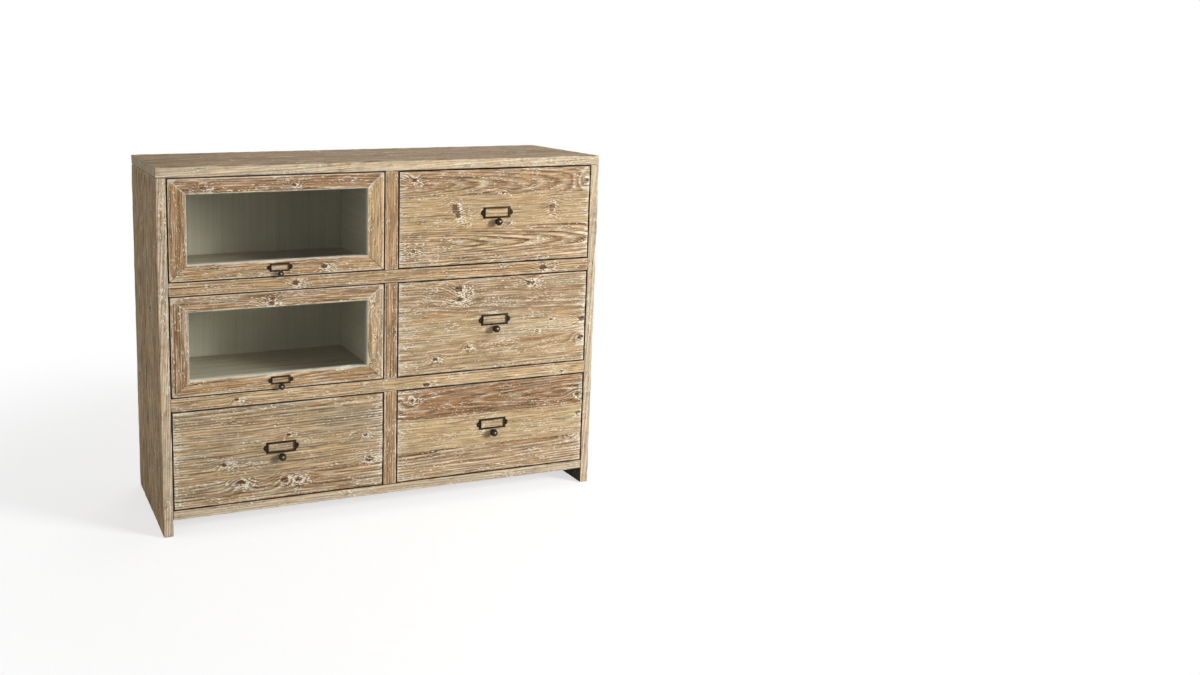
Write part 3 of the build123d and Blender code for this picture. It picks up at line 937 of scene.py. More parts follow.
def settle(piece, material, body, slot, *nodes):
    """Gives a finished piece its material, hangs it on its body's empty, and hides the CAD nodes it replaces.
    """
    piece.data.materials.clear()
    piece.data.materials.append(material)
    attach(piece, body)
    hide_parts(*nodes)
    print(piece.name, len(piece.data.polygons), "faces")


print("pieces to be made stand for nodes such as", *list(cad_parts)[:3])

# %% [markdown]
# The material needs to know how each board lay in its log. Its "grain" attribute holds every point in the
# log's own millimetres: x along the trunk, y and z from the heart. A slight slope between board and trunk
# is what draws the arches. "wear" is the distance to the nearest arris, "tone" is the plank's colour, and
# the knot attributes hold how far each point is from a knot, counted in knot sizes.

# %% Attributes of a board
MM = 0.001
NO_KNOT = (50.0, 50.0, 0.0)


def write_attribute(board, name, values):
    kind, field = ("FLOAT_VECTOR", "vector") if values.ndim == 2 else ("FLOAT", "value")
    attribute = board.data.attributes.new(name, kind, "POINT")
    attribute.data.foreach_set(field, values.astype(np.float32).ravel())


def points_of(board):
    points = np.zeros(len(board.data.vertices) * 3, np.float32)
    board.data.vertices.foreach_get("co", points)
    return points.reshape(-1, 3).astype(float)


def arris_distance(points, low, high):
    """How far points on a board are from its nearest long or short arris, in metres."""
    low, high = np.array(low), np.array(high)
    depth = np.minimum(points - low, high - points)
    thin = int(np.argmin(high - low))
    broad = [axis for axis in range(3) if axis != thin]
    return np.maximum(depth[:, thin], depth[:, broad].min(axis=1))


def knot_place(run, side, knot):
    """Each point's place beside a knot (along, across, size, strength); a size may be long, tall, lean."""
    along, across, size, *strength = knot
    long, tall, lean = (*size, 0.0)[:3] if isinstance(size, tuple) else (size, size, 0.0)
    share = np.full(len(run), strength[0] if strength else 1.0)
    return np.stack([(run - along + lean * (side - across)) / long, (side - across) / tall, share], axis=1)


print("attributes of a board: grain, wear, tone, coat,", *KNOT_SLOTS)

# %% [markdown]
# One function writes them all on a finished board. A board's log is four numbers: how far aside of the
# heart the board was sawn, how deep, how much it slopes along the trunk, and how far up the trunk it was.

# %% Marking a board
AXES = {"X": 0, "Y": 1, "Z": 2}


def mark_board(board, along, across, low, high, log, tone, knots=(), wear=None, coat=None, lines=1.0):
    points = points_of(board)
    a, c = AXES[along], AXES[across]
    d = 3 - a - c
    middle = (points.min(axis=0) + points.max(axis=0)) / 2
    aside, depth, slope, up_trunk = log
    run = (points[:, a] - middle[a]) / MM
    sawn = (points[:, c] - middle[c]) / MM - aside
    deep = (points[:, d] - points[:, d].min()) / MM + depth + slope * run
    write_attribute(board, "grain", np.stack([run + up_trunk, sawn, deep], axis=1))
    write_attribute(board, "tone", np.tile(np.array(tone, float), (len(points), 1)))
    wear = arris_distance(points, low, high) if wear is None else wear
    write_attribute(board, "wear", np.maximum(wear, 0.0) / MM)
    coat = np.zeros((len(points), 3)) if coat is None else coat
    coat[:, 2] = lines
    write_attribute(board, "coat", coat)
    for index, slot in enumerate(KNOT_SLOTS):
        if index < len(knots):
            values = knot_place(points[:, a] / MM, points[:, c] / MM, knots[index])
        else:
            values = np.tile(np.array(NO_KNOT), (len(points), 1))
        write_attribute(board, slot, values)


def change_tones(board, change):
    """Lets a function change the tones of a finished piece, given its points."""
    points = points_of(board)
    tones = np.zeros(points.size, np.float32)
    layer = board.data.attributes["tone"].data
    layer.foreach_get("vector", tones)
    change(points, tones.reshape(-1, 3))
    layer.foreach_set("vector", tones)


print("up to", len(KNOT_SLOTS), "knots on a board")

# %% [markdown]
# Paint and painted shade are attributes as well, because they end along lines that no noise could find: behind
# the face frame, or on the narrow faces that look into the gap beside a drawer. Where such a face starts, and
# how deep it counts, are shares of how far the board's arrises are rounded.

# %% Paint and painted shade
GAP_STARTS = 0.45
GAP_DEPTH = 0.95


def coat_of(points, painted_part, grimy):
    """Paint and painted shade for each point; shade above 1, up to 2, turns to the painted shadow grey of a
    foot's inner face.
    """
    coat = np.zeros((len(points), 3))
    coat[:, 0], coat[:, 1] = painted_part, grimy
    return coat


def gap_face(points, low, high, worn):
    """True on the side faces of a front that look into a gap, behind its rounded arris."""
    x, y, z = points.T
    aside = np.minimum.reduce([x - low[0], high[0] - x, z - low[2], high[2] - z])
    return (y > low[1] + GAP_STARTS * worn) & (aside < GAP_DEPTH * worn)


def gap_coat(low, high, worn):
    """The coat of a front: bare, with painted shade on its side faces."""
    return lambda points: coat_of(points, 0.0, gap_face(points, low, high, worn))


print("coats", coat_of.__name__, gap_coat.__name__)

# %% [markdown]
# Broad panels are glued up from planks, and each plank came from another log. One function lays the planks
# side by side between cuts. A plank that needs no special grain gets a place in a log by chance, from a
# seeded source, so that the chest looks the same every time.

# %% Glued boards
WORN = 0.0016
chance = random.Random(7)


def random_log(slope=0.05):
    """A place in a log for a plank that needs no special grain."""
    up_trunk = chance.uniform(0, 9000)
    return chance.uniform(-60, 60), chance.uniform(18, 70), chance.choice((-1, 1)) * slope, up_trunk


def side_log(aside, depth, slope):
    """A place well aside of the heart, where the grain runs straight; aside and depth are ranges."""
    sign = chance.choice((-1, 1))
    return sign * chance.uniform(*aside), chance.uniform(*depth), slope, chance.uniform(0, 9000)


def glued_board(name, low, high, along, across, cuts, tones, lines, knots, coat, logs=None, rebate=None):
    """One panel of planks laid side by side between cuts across it; the last one may get a rebate."""
    c = AXES[across]
    levels = [low[c], *cuts, high[c]]
    planks = []
    for index, (start, end) in enumerate(zip(levels, levels[1:])):
        plank_low, plank_high = list(low), list(high)
        plank_low[c], plank_high[c] = start, end
        plank = add_plank(plank_low, plank_high)
        soften(plank, low, high, WORN)
        if rebate and end == levels[-1]:
            cut_box(plank, *rebate)
        log = logs[index] if logs and logs[index] else random_log()
        mark_board(plank, along, across, low, high, log, tones[index], knots[index],
                   coat=coat(points_of(plank)), lines=lines[index])
        planks.append(plank)
    return joined(planks, name)


print("arrises worn by", WORN, "m")

# %% [markdown]
# The top is glued up from four planks that run the length of the chest, and it is let out at the back for
# the back boards. Its front edge is planed clean and pale, so its tone is changed after the planks are
# joined.

# %% Top
BEHIND_ARRIS = 0.0012
UNDERSIDE = 0.0009
EDGE_TONE = (0.05, 0.0, 0.5)
top_low, top_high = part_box("top_board")
width = (top_high.y - top_low.y) / 4


def top_coat(points):
    """Painted shade under the top, where it looks into the gaps above the fronts."""
    under = (points[:, 2] < top_low.z + UNDERSIDE) & (points[:, 1] > top_low.y + BEHIND_ARRIS)
    return coat_of(points, 0.0, under)


def pale_front_edge(points, tones):
    tones[points[:, 1] < top_low.y + BEHIND_ARRIS] = EDGE_TONE


top = glued_board(
    "top_planks", top_low, top_high, "X", "Y", [top_low.y + width * step for step in (1.1, 2.05, 3.1)],
    tones=[(0.3, 0.6, 0.4), (0.6, 0.8, 0.3), (0.35, 0.8, 0.4), (0.5, 0.7, 0.3)],
    lines=(0.8,) * 4,
    logs=[None, (10, 26, 0.035, 300), None, None],
    knots=[((-250, -140, 7),), ((430, -20, 8), (-390, -35, 6)), ((60, 70, 9),),
           ((-120, 160, 7), (480, 150, 6))],
    rebate=((back_low.x, back_low.y, top_low.z - 0.01), (back_high.x, top_high.y + 0.01, back_high.z)),
    coat=top_coat,
)
change_tones(top, pale_front_edge)
settle(top, case_pine, "carcass", "limed_pine_case", "top_board")

# %% [markdown]
# Each side is four upright planks that run down to the floor as a foot. Behind the face frame their inner
# faces are painted like the rest of the inside. In front of it they look into the gaps and get painted shade,
# and below the bottom rail they get the painted shadow grey of a foot's inside.

# %% Sides
FOOT_SHADE = 2.0
FOOT_BELOW_RAIL = 0.02
INNER_FACE = 0.0015
PAINT_LAP = 0.001
rail_boxes = {node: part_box(node) for node in ("bottom_rail", "lower_rail", "upper_rail")}
floors = [high.z for low, high in rail_boxes.values()]
frame_back = rail_boxes["bottom_rail"][1].y


def add_side(node, outer_sign, tones, lines, knots):
    low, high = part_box(node)
    inner = low.x if outer_sign > 0 else high.x

    def side_coat(points):
        x, y, z = points.T
        inside = (np.abs(x - inner) < INNER_FACE) & (y > low.y + BEHIND_ARRIS)
        behind = inside & (y > frame_back - PAINT_LAP) & (z > floors[0])
        foot = inside & (z < floors[0] - FOOT_BELOW_RAIL)
        # Faces in front of the frame take painted shade, and the inside of the foot takes the painted shadow
        # grey.
        return coat_of(points, behind, np.where(foot, FOOT_SHADE, inside & ~behind))

    step = (high.y - low.y) / 4
    first, last = sorted((inner - outer_sign * 0.02, abs(back_high.x) * outer_sign))
    side = glued_board(
        node + "_planks", low, high, "Z", "Y", [low.y + step * share for share in (0.95, 2.0, 3.05)],
        tones, lines, knots, side_coat,
        rebate=((first, back_low.y, back_low.z), (last, high.y + 0.01, high.z + 0.01)))
    settle(side, case_pine, "carcass", "limed_pine_case", node)


add_side("left_side", -1, lines=(1.5, 1.4, 1.6, 1.5),
         tones=[(0.3, 0.1, 0.5), (-0.25, 0.4, 0.6), (0.4, 0.3, 0.5), (-0.15, 0.6, 0.6)],
         knots=[(), ((560, -60, 8), (180, -70, 6)), ((760, 50, 7),), ((330, 150, 8),)])
add_side("right_side", 1, lines=(0.9, 1.0, 1.1, 0.9),
         tones=[(0.3, 0.2, 0.6), (0.3, 0.5, 0.8), (0.2, 0.5, 0.9), (0.4, 0.6, 0.7)],
         knots=[(), ((640, -50, 7),), ((300, 60, 9), (820, 45, 6)), ((480, 160, 7),)])

# %% [markdown]
# The face frame is three rails between the sides and three short stiles between the rails. They are
# straight-grained strips, paler than the fronts, with a knot here and there. Where a rail meets a side the
# joint is a plain butt, so each strip is a board of its own.

# %% Face frame
STRIP_WORN = 0.0011


def add_strip(name, node, boxes, along, across, tones, knots):
    """Frame members that ride on the case as one piece."""
    strips = []
    for (low, high), tone, near in zip(boxes, tones, knots):
        strip = add_plank(low, high, cell=0.009)
        soften(strip, low, high, STRIP_WORN)
        coat = gap_coat(low, high, STRIP_WORN)(points_of(strip))
        log = side_log((60, 110), (20, 50), 0.01)
        mark_board(strip, along, across, low, high, log, tone, near, coat=coat)
        strips.append(strip)
    settle(joined(strips, name), case_pine, "carcass", "limed_pine_case", node)


for node, tone, knots in (
    ("upper_rail", (0.25, 0.15, 0.6), ((-256, 628, 8), (438, 627, 9), (313, 640, 3))),
    ("lower_rail", (-0.2, 0.0, 0.5), ((101, 330, 7), (504, 331, 5), (-410, 340, 5))),
    ("bottom_rail", (0.1, 0.2, 0.55), ((-120, 56, 6), (350, 50, 4))),
):
    add_strip(node + "_strip", node, [rail_boxes[node]], "X", "Z", [tone], [knots])

stile_low, stile_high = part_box("centre_stiles")
ceilings = [rail_boxes["lower_rail"][0].z, rail_boxes["upper_rail"][0].z, top_low.z]
stiles = [((stile_low.x, stile_low.y, a), (stile_high.x, stile_high.y, b)) for a, b in zip(floors, ceilings)]
add_strip("centre_stile_strips", "centre_stiles", stiles, "Z", "X",
          [(0.6, 0.05, 0.55), (0.65, 0.05, 0.6), (0.55, 0.05, 0.5)], [(), ((0, 480, 9),), ()])

# %% [markdown]
# Each drawer front is glued up from two or three planks of different hue. The photograph shows where they meet
# and where their knots are, so these are listed, in millimetres across the front. A knot with a negative
# strength is a long dark streak without a ring around it.

# %% Facts of the drawer fronts
FRONTS = {
    "top_right_drawer": {
        "cuts": (0.745, 0.829),
        "tones": ((0.25, 0.1, 0.7), (0.0, 0.15, 0.35), (0.5, 0.25, 0.7)),
        "lines": (1.1, 0.35, 0.9),
        "logs": ((6, 22, 0.045, 400), (90, 30, 0.01, 900), (-6, 30, 0.08, 1500)),
        "knots": (((60, 690, 5),),
                  ((180, 790, (8, 25, 0.36), 0.85), (459, 789, (7, 14, -0.15), 0.7), (331, 752, 5),
                   (66, 838, 6)),
                  ((62, 875, 7), (560, 858, 10, 0.8), (314, 834, 4), (140, 877, (110, 5), -0.6))),
    },
    "middle_right_drawer": {
        "cuts": (0.440, 0.507),
        "tones": ((0.25, 0.3, 1.0), (0.1, 0.35, 1.1), (0.55, 0.55, 1.1)),
        "lines": (0.45, 0.35, 0.45),
        "logs": ((40, 40, 0.02, 2300), (120, 30, 0.01, 2900), (-50, 30, 0.025, 3500)),
        "knots": (((126, 398, 6), (222, 423, 5), (560, 425, 8)),
                  ((425, 452, 6, 0.6), (563, 476, 9), (467, 481, 4)),
                  ((191, 583, 10), (191, 554, 9), (402, 588, 9), (98, 541, (2, 9), 0.5))),
    },
    "bottom_right_drawer": {
        "cuts": (0.147, 0.235),
        "tones": ((0.35, 0.15, 1.1), (-0.3, 0.25, 0.6), (0.85, 0.1, 0.5)),
        "lines": (1.0, 0.4, 1.2),
        "logs": ((40, 30, 0.02, 4300), (110, 40, -0.01, 4900), (-3, 24, -0.05, 5500)),
        "knots": (((540, 150, 7), (200, 146, (170, 2), -0.6)), ((265, 190, 4), (560, 208, 7)),
                  ((60, 290, 6), (558, 262, 9), (300, 244, (260, 5), -0.5))),
    },
    "bottom_left_drawer": {
        "cuts": (0.132, 0.226),
        "tones": ((0.5, 0.5, 0.8), (0.25, 0.75, 0.8), (0.3, 0.8, 0.9)),
        "lines": (1.1, 0.7, 0.8),
        "logs": ((36, 24, 0.012, 6300), (80, 36, 0.015, 6900), (60, 40, 0.012, 7500)),
        "knots": (((-402, 121, 9), (-288, 115, 9), (-252, 112, 8)),
                  ((-57, 145, 9), (-445, 173, 6), (-70, 212, 5), (-217, 137, (70, 2), -0.7)),
                  ((-276, 234, 5),)),
    },
}
print("fronts", *FRONTS)

# %% [markdown]
# End grain drinks more limewash than long grain does, so the fronts are whiter towards their ends. The
# change dies away over a finger's width, which an exponential does without a visible border.

# %% Drawer fronts
END_LIME = 1.8
END_REACH = 0.02

for drawer, facts in FRONTS.items():
    node = drawer + "_front"
    low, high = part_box(node)

    def lime_ends(points, tones):
        to_end = np.minimum(points[:, 0] - low.x, high.x - points[:, 0])
        tones[:, 2] += END_LIME * np.exp(-to_end / END_REACH)

    front = glued_board(drawer + "_planks", low, high, "X", "Z", coat=gap_coat(low, high, WORN), **facts)
    change_tones(front, lime_ends)
    settle(front, front_pine, drawer, "limed_pine_fronts", node)

# %% [markdown]
# A flap is a mitred frame around a pane. Its outline, the opening that one looks through and the recess
# for the pane are all read from the CAD nodes, so that the new members close around the same glass.

# %% Sizes of the flaps
GLASS_REBATE = 0.008


def flap_boxes(flap):
    """The outline, the sight opening and the pane's recess of a flap, each as two corners."""
    outer_low, outer_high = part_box(flap + "_rails")
    bead_low, bead_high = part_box(flap + "_beads")
    lip = Vector((GLASS_REBATE, 0.0, GLASS_REBATE))
    recess_low = (bead_low.x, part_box(flap + "_glass")[0].y, bead_low.z)
    recess_high = (bead_high.x, outer_high.y + 0.01, bead_high.z)
    return (outer_low, outer_high), (bead_low + lip, bead_high - lip), (recess_low, recess_high)


def flap_members(outer, sight):
    """The boxes of the four members, each across its whole side."""
    (low, high), (sight_low, sight_high) = outer, sight
    return {
        "bottom": (low, (high.x, high.y, sight_low.z)),
        "top": ((low.x, low.y, sight_high.z), high),
        "left": (low, (sight_low.x, high.y, high.z)),
        "right": ((sight_high.x, low.y, low.z), high),
    }


def flap_corners(outer, sight):
    """The four mitres as lines from an outer corner to an inner one, in x and z."""
    return [((outer[i].x, outer[j].z), (sight[i].x, sight[j].z)) for i in (0, 1) for j in (0, 1)]


print("members", *flap_members(*flap_boxes("upper_flap")[:2]))

# %% [markdown]
# Each member starts as a board across its whole side, and a bisect at either end cuts it off along the
# mitre, as a saw would. The edges of the frame are then rounded on its front and back, and the mitres
# themselves barely, so that they show as a fine line.

# %% Mitred members
FLAP_WORN = 0.0012
MITRE_SEAM = 0.0004
TOUCH = 1e-6


def cut_mitres(board, low, high, corners):
    """Cuts off both ends of a member along the mitres that touch it."""
    middle = (Vector(low) + Vector(high)) / 2
    for (x_end, z_end), (x_in, z_in) in corners:
        if low[0] - TOUCH <= x_in <= high[0] + TOUCH and low[2] - TOUCH <= z_in <= high[2] + TOUCH:
            corner = Vector((x_end, middle.y, z_end))
            outward = Vector((z_in - z_end, 0.0, x_end - x_in)).normalized()
            if (middle - corner).dot(outward) > 0:
                outward = -outward
            edit_mode()
            bpy.ops.mesh.select_all(action="SELECT")
            bpy.ops.mesh.bisect(plane_co=corner, plane_no=outward, use_fill=True, clear_outer=True)
            object_mode()


def on_flap_edge(points, outer, sight):
    """True if an edge lies on the outline or around the opening, on the front or the back."""
    def at(axis, level):
        return all(abs(point[axis] - level) < TOUCH for point in points)

    flat = at(1, outer[0].y) or at(1, outer[1].y)
    return flat and any(at(axis, corner[axis]) for axis in (0, 2) for corner in (*outer, *sight))


def add_member(low, high, outer, sight, recess):
    board = add_plank(low, high, cell=0.011)
    only(board)
    cut_mitres(board, low, high, flap_corners(outer, sight))
    round_edges(board, lambda points: on_flap_edge(points, outer, sight), FLAP_WORN, MITRE_SEAM)
    cut_box(board, *recess)
    return board


print("mitres", len(flap_corners(*flap_boxes("upper_flap")[:2])))

# %% [markdown]
# Limewash has caught in the upper mitres and made them pale. The lower ones have opened, and a thin dark line
# of painted shade lies along them as the shade of the open joints. The wear attribute is the distance to an
# arris, so the mitres are made to count as one. It rises faster beside a lower mitre, which keeps the pale
# line off it. The narrow inner edge beside the glass is painted near-white, whiter than the paint alone, as a
# painted highlight.

# %% Wear and coat of the flaps
UPPER_RISE, LOWER_RISE = 1.6, 6.0
AT_MITRE = 0.0006
MITRE_SHADE = 1.3
DARK_MITRE = 0.0009
MITRE_WASH = 0.013
SIGHT_EDGE = 2e-4
BEHIND_FRONT = 0.001


def flap_wear_and_coat(points, outer, sight):
    x, y, z = points.T
    (low, high), (sight_low, sight_high) = outer, sight
    from_outline = np.minimum.reduce([x - low.x, high.x - x, z - low.z, high.z - z])
    from_sight = np.maximum.reduce([sight_low.x - x, x - sight_high.x, sight_low.z - z, z - sight_high.z])
    slant, dirt = np.ones(len(points)), np.zeros(len(points))
    for (x_end, z_end), (x_in, z_in) in flap_corners(outer, sight):
        run = np.array([x_in - x_end, z_in - z_end])
        run /= np.linalg.norm(run)
        away = np.abs((x - x_end) * run[1] - (z - z_end) * run[0])
        lower = z_end < z_in
        slant = np.minimum(slant, away * (LOWER_RISE if lower else UPPER_RISE) + AT_MITRE)
        # Painted shade along the lower mitres: a thin dark line, darkest at the joint. Values past 1 also take
        # on the foot's painted shadow grey.
        if lower:
            dirt = np.where(away < MITRE_WASH, MITRE_SHADE - away / DARK_MITRE, dirt)
    wear = np.maximum(np.minimum.reduce([np.abs(from_outline), np.abs(from_sight), slant]),
                      np.minimum(y - low.y, high.y - y))
    # The pale paint on this edge is whiter than paint alone, as a painted highlight.
    beside_glass = (np.abs(from_sight) < SIGHT_EDGE) & (y > low.y + BEHIND_FRONT)
    # Faces that look into the gap around the flap get painted shade. Elsewhere the lower mitres keep their
    # line of painted shade.
    return wear, coat_of(points, beside_glass, np.where(gap_face(points, low, high, FLAP_WORN), 1.0, dirt))


# The printed width is that of the painted shade line along a lower mitre.
print("dirt reaches", DARK_MITRE, "m from a lower mitre")

# %% [markdown]
# Now the flaps are put together. The rails lie with their grain level and the stiles upright, so they are
# two pieces of each flap, as they are two nodes in the CAD model.

# %% Flaps
FLAPS = {
    "upper_flap": {
        "tones": {"top": (0.75, 0.1, 1.0), "bottom": (0.15, 0.1, 1.1), "left": (0.6, 0.05, 0.8),
                  "right": (-0.2, 0.0, 0.9)},
        "knots": {"top": ((-259, 873, 5), (-486, 873, 5)), "bottom": ((-181, 665, 7),)},
    },
    "lower_flap": {
        "tones": {"top": (0.6, 0.2, 1.2), "bottom": (0.15, 0.2, 1.1), "left": (0.95, 0.1, 1.3),
                  "right": (-0.25, 0.4, 1.2)},
        "knots": {"top": ((-320, 578, 7),),
                  "right": ((560, -46, (7, 5), 0.7), (470, -38, (6, 4), 0.6), (410, -48, 4, 0.7))},
    },
}

for flap, facts in FLAPS.items():
    outer, sight, recess = flap_boxes(flap)
    pieces = {"rails": [], "stiles": []}
    for side, (low, high) in flap_members(outer, sight).items():
        board = add_member(low, high, outer, sight, recess)
        wear, coat = flap_wear_and_coat(points_of(board), outer, sight)
        kind, along, across = ("rails", "X", "Z") if side in ("top", "bottom") else ("stiles", "Z", "X")
        log = side_log((20, 90), (15, 40), 0.02)
        mark_board(board, along, across, low, high, log, facts["tones"][side], facts["knots"].get(side, ()),
                   wear, coat, lines=0.9)
        pieces[kind].append(board)
    for kind, boards in pieces.items():
        piece = joined(boards, f"{flap}_mitred_{kind}")
        settle(piece, flap_pine, flap, "limed_pine_flaps", f"{flap}_{kind}")

# %% [markdown]
# A card holder is a stamped frame with a raised rim around its window and a lobed ear at each end. It
# starts as a thin block. Bisects draw the window, the rim and the ears on it, the window's faces are
# deleted and its two outlines bridged, the rim is extruded forwards, and the ears are extruded sideways.

# %% Window and rim of a card holder
PLATE = 0.0012
RIM = 0.0022


def bisect_about(centre, axis, distances):
    """Cuts the whole mesh at distances on both sides of a centre."""
    for distance in distances:
        for sign in (-1, 1):
            place, normal = list(centre), [0.0, 0.0, 0.0]
            place[axis] += sign * distance
            normal[axis] = 1.0
            bpy.ops.mesh.select_all(action="SELECT")
            bpy.ops.mesh.bisect(plane_co=place, plane_no=normal)


def within(points, centre, width, height):
    return all(abs(p.x - centre.x) < width + 1e-5 and abs(p.z - centre.z) < height + 1e-5 for p in points)


def flat_at(points, *levels):
    return any(all(abs(p.y - level) < 1e-5 for p in points) for level in levels)


def open_window(holder, centre, front, back, window):
    """Cuts the window out of the block and raises the rim around it."""
    half_width, half_height = window[0] / 2, window[1] / 2
    face = back - PLATE
    select_where(holder, "FACE", lambda points: within(points, centre, half_width, half_height))
    bpy.ops.mesh.delete(type="FACE")
    select_where(holder, "EDGE", lambda points: within(points, centre, half_width, half_height)
                 and flat_at(points, back, face))
    bpy.ops.mesh.bridge_edge_loops()
    select_where(holder, "FACE", lambda points: flat_at(points, face)
                 and within(points, centre, half_width + RIM, half_height + RIM))
    bpy.ops.mesh.extrude_region_move(TRANSFORM_OT_translate={"value": (0.0, front - face, 0.0)})


print("plate", PLATE, "rim", RIM)

# %% [markdown]
# The ears are drawn out in three short extrudes, each narrower than the last, which gives them their
# rounded lobe. The notches above and below them are points of the block's own ends, pushed in a little.

# %% Ears of a card holder
EAR_STEPS = ((0.55, 0.86), (0.3, 0.62), (0.15, 0.4))
NOTCH = 0.0018


def draw_out_ears(holder, centre, half_width, back, ear, lobe, notch):
    """Pushes the notches in and extrudes the lobes at both ends."""
    for sign in (-1, 1):
        end = centre.x + sign * half_width
        select_where(holder, "VERT", lambda points: abs(points[0].x - end) < 1e-5
                     and abs(abs(points[0].z - centre.z) - notch) < 1e-5)
        bpy.ops.transform.translate(value=(-sign * NOTCH, 0.0, 0.0))
        select_where(holder, "FACE", lambda points: all(abs(p.x - end) < 1e-5 for p in points)
                     and within(points, centre, 1.0, lobe / 2))
        middle = (end, back - PLATE / 2, centre.z)
        for reach, narrow in EAR_STEPS:
            outwards = (sign * ear * reach, 0.0, 0.0)
            bpy.ops.mesh.extrude_region_move(TRANSFORM_OT_translate={"value": outwards})
            bpy.ops.transform.resize(value=(1.0, 1.0, narrow), center_override=middle)


print("ears in", len(EAR_STEPS), "steps")

# %% [markdown]
# Now the block goes through all of it. Extruding leaves points on top of one another, so these are merged
# and the faces turned outwards. A Bevel modifier takes the sharpness off, as the stamping would, and is
# applied, so that the piece is plain geometry.

# %% Card holder
def close_mesh(nearness):
    """Merges points nearer than this in a whole mesh and turns its faces outwards."""
    bpy.ops.mesh.select_all(action="SELECT")
    bpy.ops.mesh.remove_doubles(threshold=nearness)
    bpy.ops.mesh.normals_make_consistent(inside=False)


def add_card_holder(body, ear, lobe, window):
    """The holder of one flap or drawer; window is its width and height."""
    low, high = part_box(body + "_label_holder")
    centre = (low + high) / 2
    half_width, half_height = (high.x - low.x) / 2 - ear, (high.z - low.z) / 2
    notch = (half_height + lobe / 2) / 2
    holder = start_from(bpy.ops.mesh.primitive_cube_add, (centre.x, high.y - PLATE / 2, centre.z),
                        (2 * half_width, PLATE, 2 * half_height), size=1.0)
    edit_mode()
    bisect_about(centre, 0, [window[0] / 2, window[0] / 2 + RIM])
    bisect_about(centre, 2, [window[1] / 2, window[1] / 2 + RIM, lobe / 2, notch])
    open_window(holder, centre, low.y, high.y, window)
    draw_out_ears(holder, centre, half_width, high.y, ear, lobe, notch)
    close_mesh(1e-6)
    object_mode()
    round_off = holder.modifiers.new("soft edges", "BEVEL")
    round_off.width = 0.00035
    round_off.segments = 2
    round_off.limit_method = "ANGLE"
    round_off.angle_limit = SMOOTH_BELOW
    bpy.ops.object.modifier_apply(modifier=round_off.name)
    holder = joined([holder], body + "_card_holder")
    points = points_of(holder)
    write_attribute(holder, "wear", np.abs(points[:, 1] - low.y) / MM)
    write_attribute(holder, "polish_and_highlight", np.zeros(len(points)))
    return holder


print("card holders are made by", add_card_holder.__name__)

# %% [markdown]
# Each holder is held by two small pins, of which only the flattened round heads show. A ball is pressed
# flat and a bisect takes its back half away.

# %% Pin heads
PIN_RADIUS = 0.002


def add_pins(body):
    low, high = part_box(body + "_label_pins")
    heads = []
    for x in (low.x + PIN_RADIUS, high.x - PIN_RADIUS):
        middle = (x, low.y + PIN_RADIUS, (low.z + high.z) / 2)
        head = start_from(bpy.ops.mesh.primitive_uv_sphere_add, middle, segments=20, ring_count=12,
                          radius=PIN_RADIUS)
        edit_mode()
        bpy.ops.mesh.select_all(action="SELECT")
        bpy.ops.transform.resize(value=(1.0, 0.7, 1.0), center_override=middle)
        bpy.ops.mesh.select_all(action="SELECT")
        bpy.ops.mesh.bisect(plane_co=middle, plane_no=(0.0, 1.0, 0.0), use_fill=True, clear_outer=True)
        object_mode()
        heads.append(head)
    pins = joined(heads, body + "_pin_heads")
    write_attribute(pins, "wear", np.full(len(pins.data.vertices), 0.15))
    write_attribute(pins, "polish_and_highlight", np.zeros(len(pins.data.vertices)))
    return pins


print("pin heads", 2 * PIN_RADIUS, "m wide")

# %% [markdown]
# The knobs are turned. A turner follows a profile, and so does the Spin tool: one vertex is extruded
# along the outline of ball, neck and base, and the outline is spun once around the knob's own axis.

# %% Turned knobs
BALL_STEPS = 13
BALL_STEP = math.radians(12.2)


def knob_outline(tip, face, radius, base):
    """Distances from the axis and places along it, from the tip of the ball to the base on the wood."""
    ball, neck = tip + radius, radius * 0.36
    outline = [(radius * math.sin(step * BALL_STEP), ball - radius * math.cos(step * BALL_STEP))
               for step in range(BALL_STEPS)]
    foot = ((neck, 0.0042), (neck * 1.05, 0.003), (base * 0.42, 0.0021), (base * 0.49, 0.0014),
            (base * 0.5, 0.0008), (base * 0.48, 0.0), (0.0, 0.0))
    return outline + [(r, face - height) for r, height in foot]


def add_knob(body, diameter, base):
    low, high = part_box(body + "_knob")
    centre = (low + high) / 2
    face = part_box(body + "_label_holder")[1].y
    outline = knob_outline(low.y, face, diameter / 2, base)
    knob = start_from(bpy.ops.mesh.primitive_plane_add, (centre.x, outline[0][1], centre.z), size=0.001)
    edit_mode()
    bpy.ops.mesh.select_mode(type="VERT")
    bpy.ops.mesh.select_all(action="SELECT")
    bpy.ops.mesh.merge(type="CENTER")
    for (r, y), (next_r, next_y) in zip(outline, outline[1:]):
        bpy.ops.mesh.extrude_region_move(TRANSFORM_OT_translate={"value": (next_r - r, next_y - y, 0.0)})
    bpy.ops.mesh.select_all(action="SELECT")
    bpy.ops.mesh.spin(steps=40, angle=math.radians(360), center=(centre.x, 0.0, centre.z),
                      axis=(0.0, 1.0, 0.0))
    close_mesh(2e-6)
    object_mode()
    knob = joined([knob], body + "_turned_knob")
    points = points_of(knob)
    write_attribute(knob, "wear", np.abs(points[:, 1] - low.y) / MM * 0.35)
    # The painted highlight is a pale spot up and to the left of the ball's tip. The rest of the knob gets the
    # clear coat.
    highlight_spot = np.array((centre.x - 0.0015, low.y, centre.z + 0.0025))
    from_highlight_spot = np.linalg.norm(points - highlight_spot, axis=1) / MM
    write_attribute(knob, "polish_and_highlight", np.clip(1.22 - from_highlight_spot / 6.0, 0.25, 1.0))
    return knob


print("knob outline", len(knob_outline(0.0, 0.02, 0.01, 0.01)), "points")

# %% [markdown]
# There are two sizes of fittings: small ones on the flaps and large ones on the drawers. Each size is
# modelled once, on the first of its places, and copied to the others.

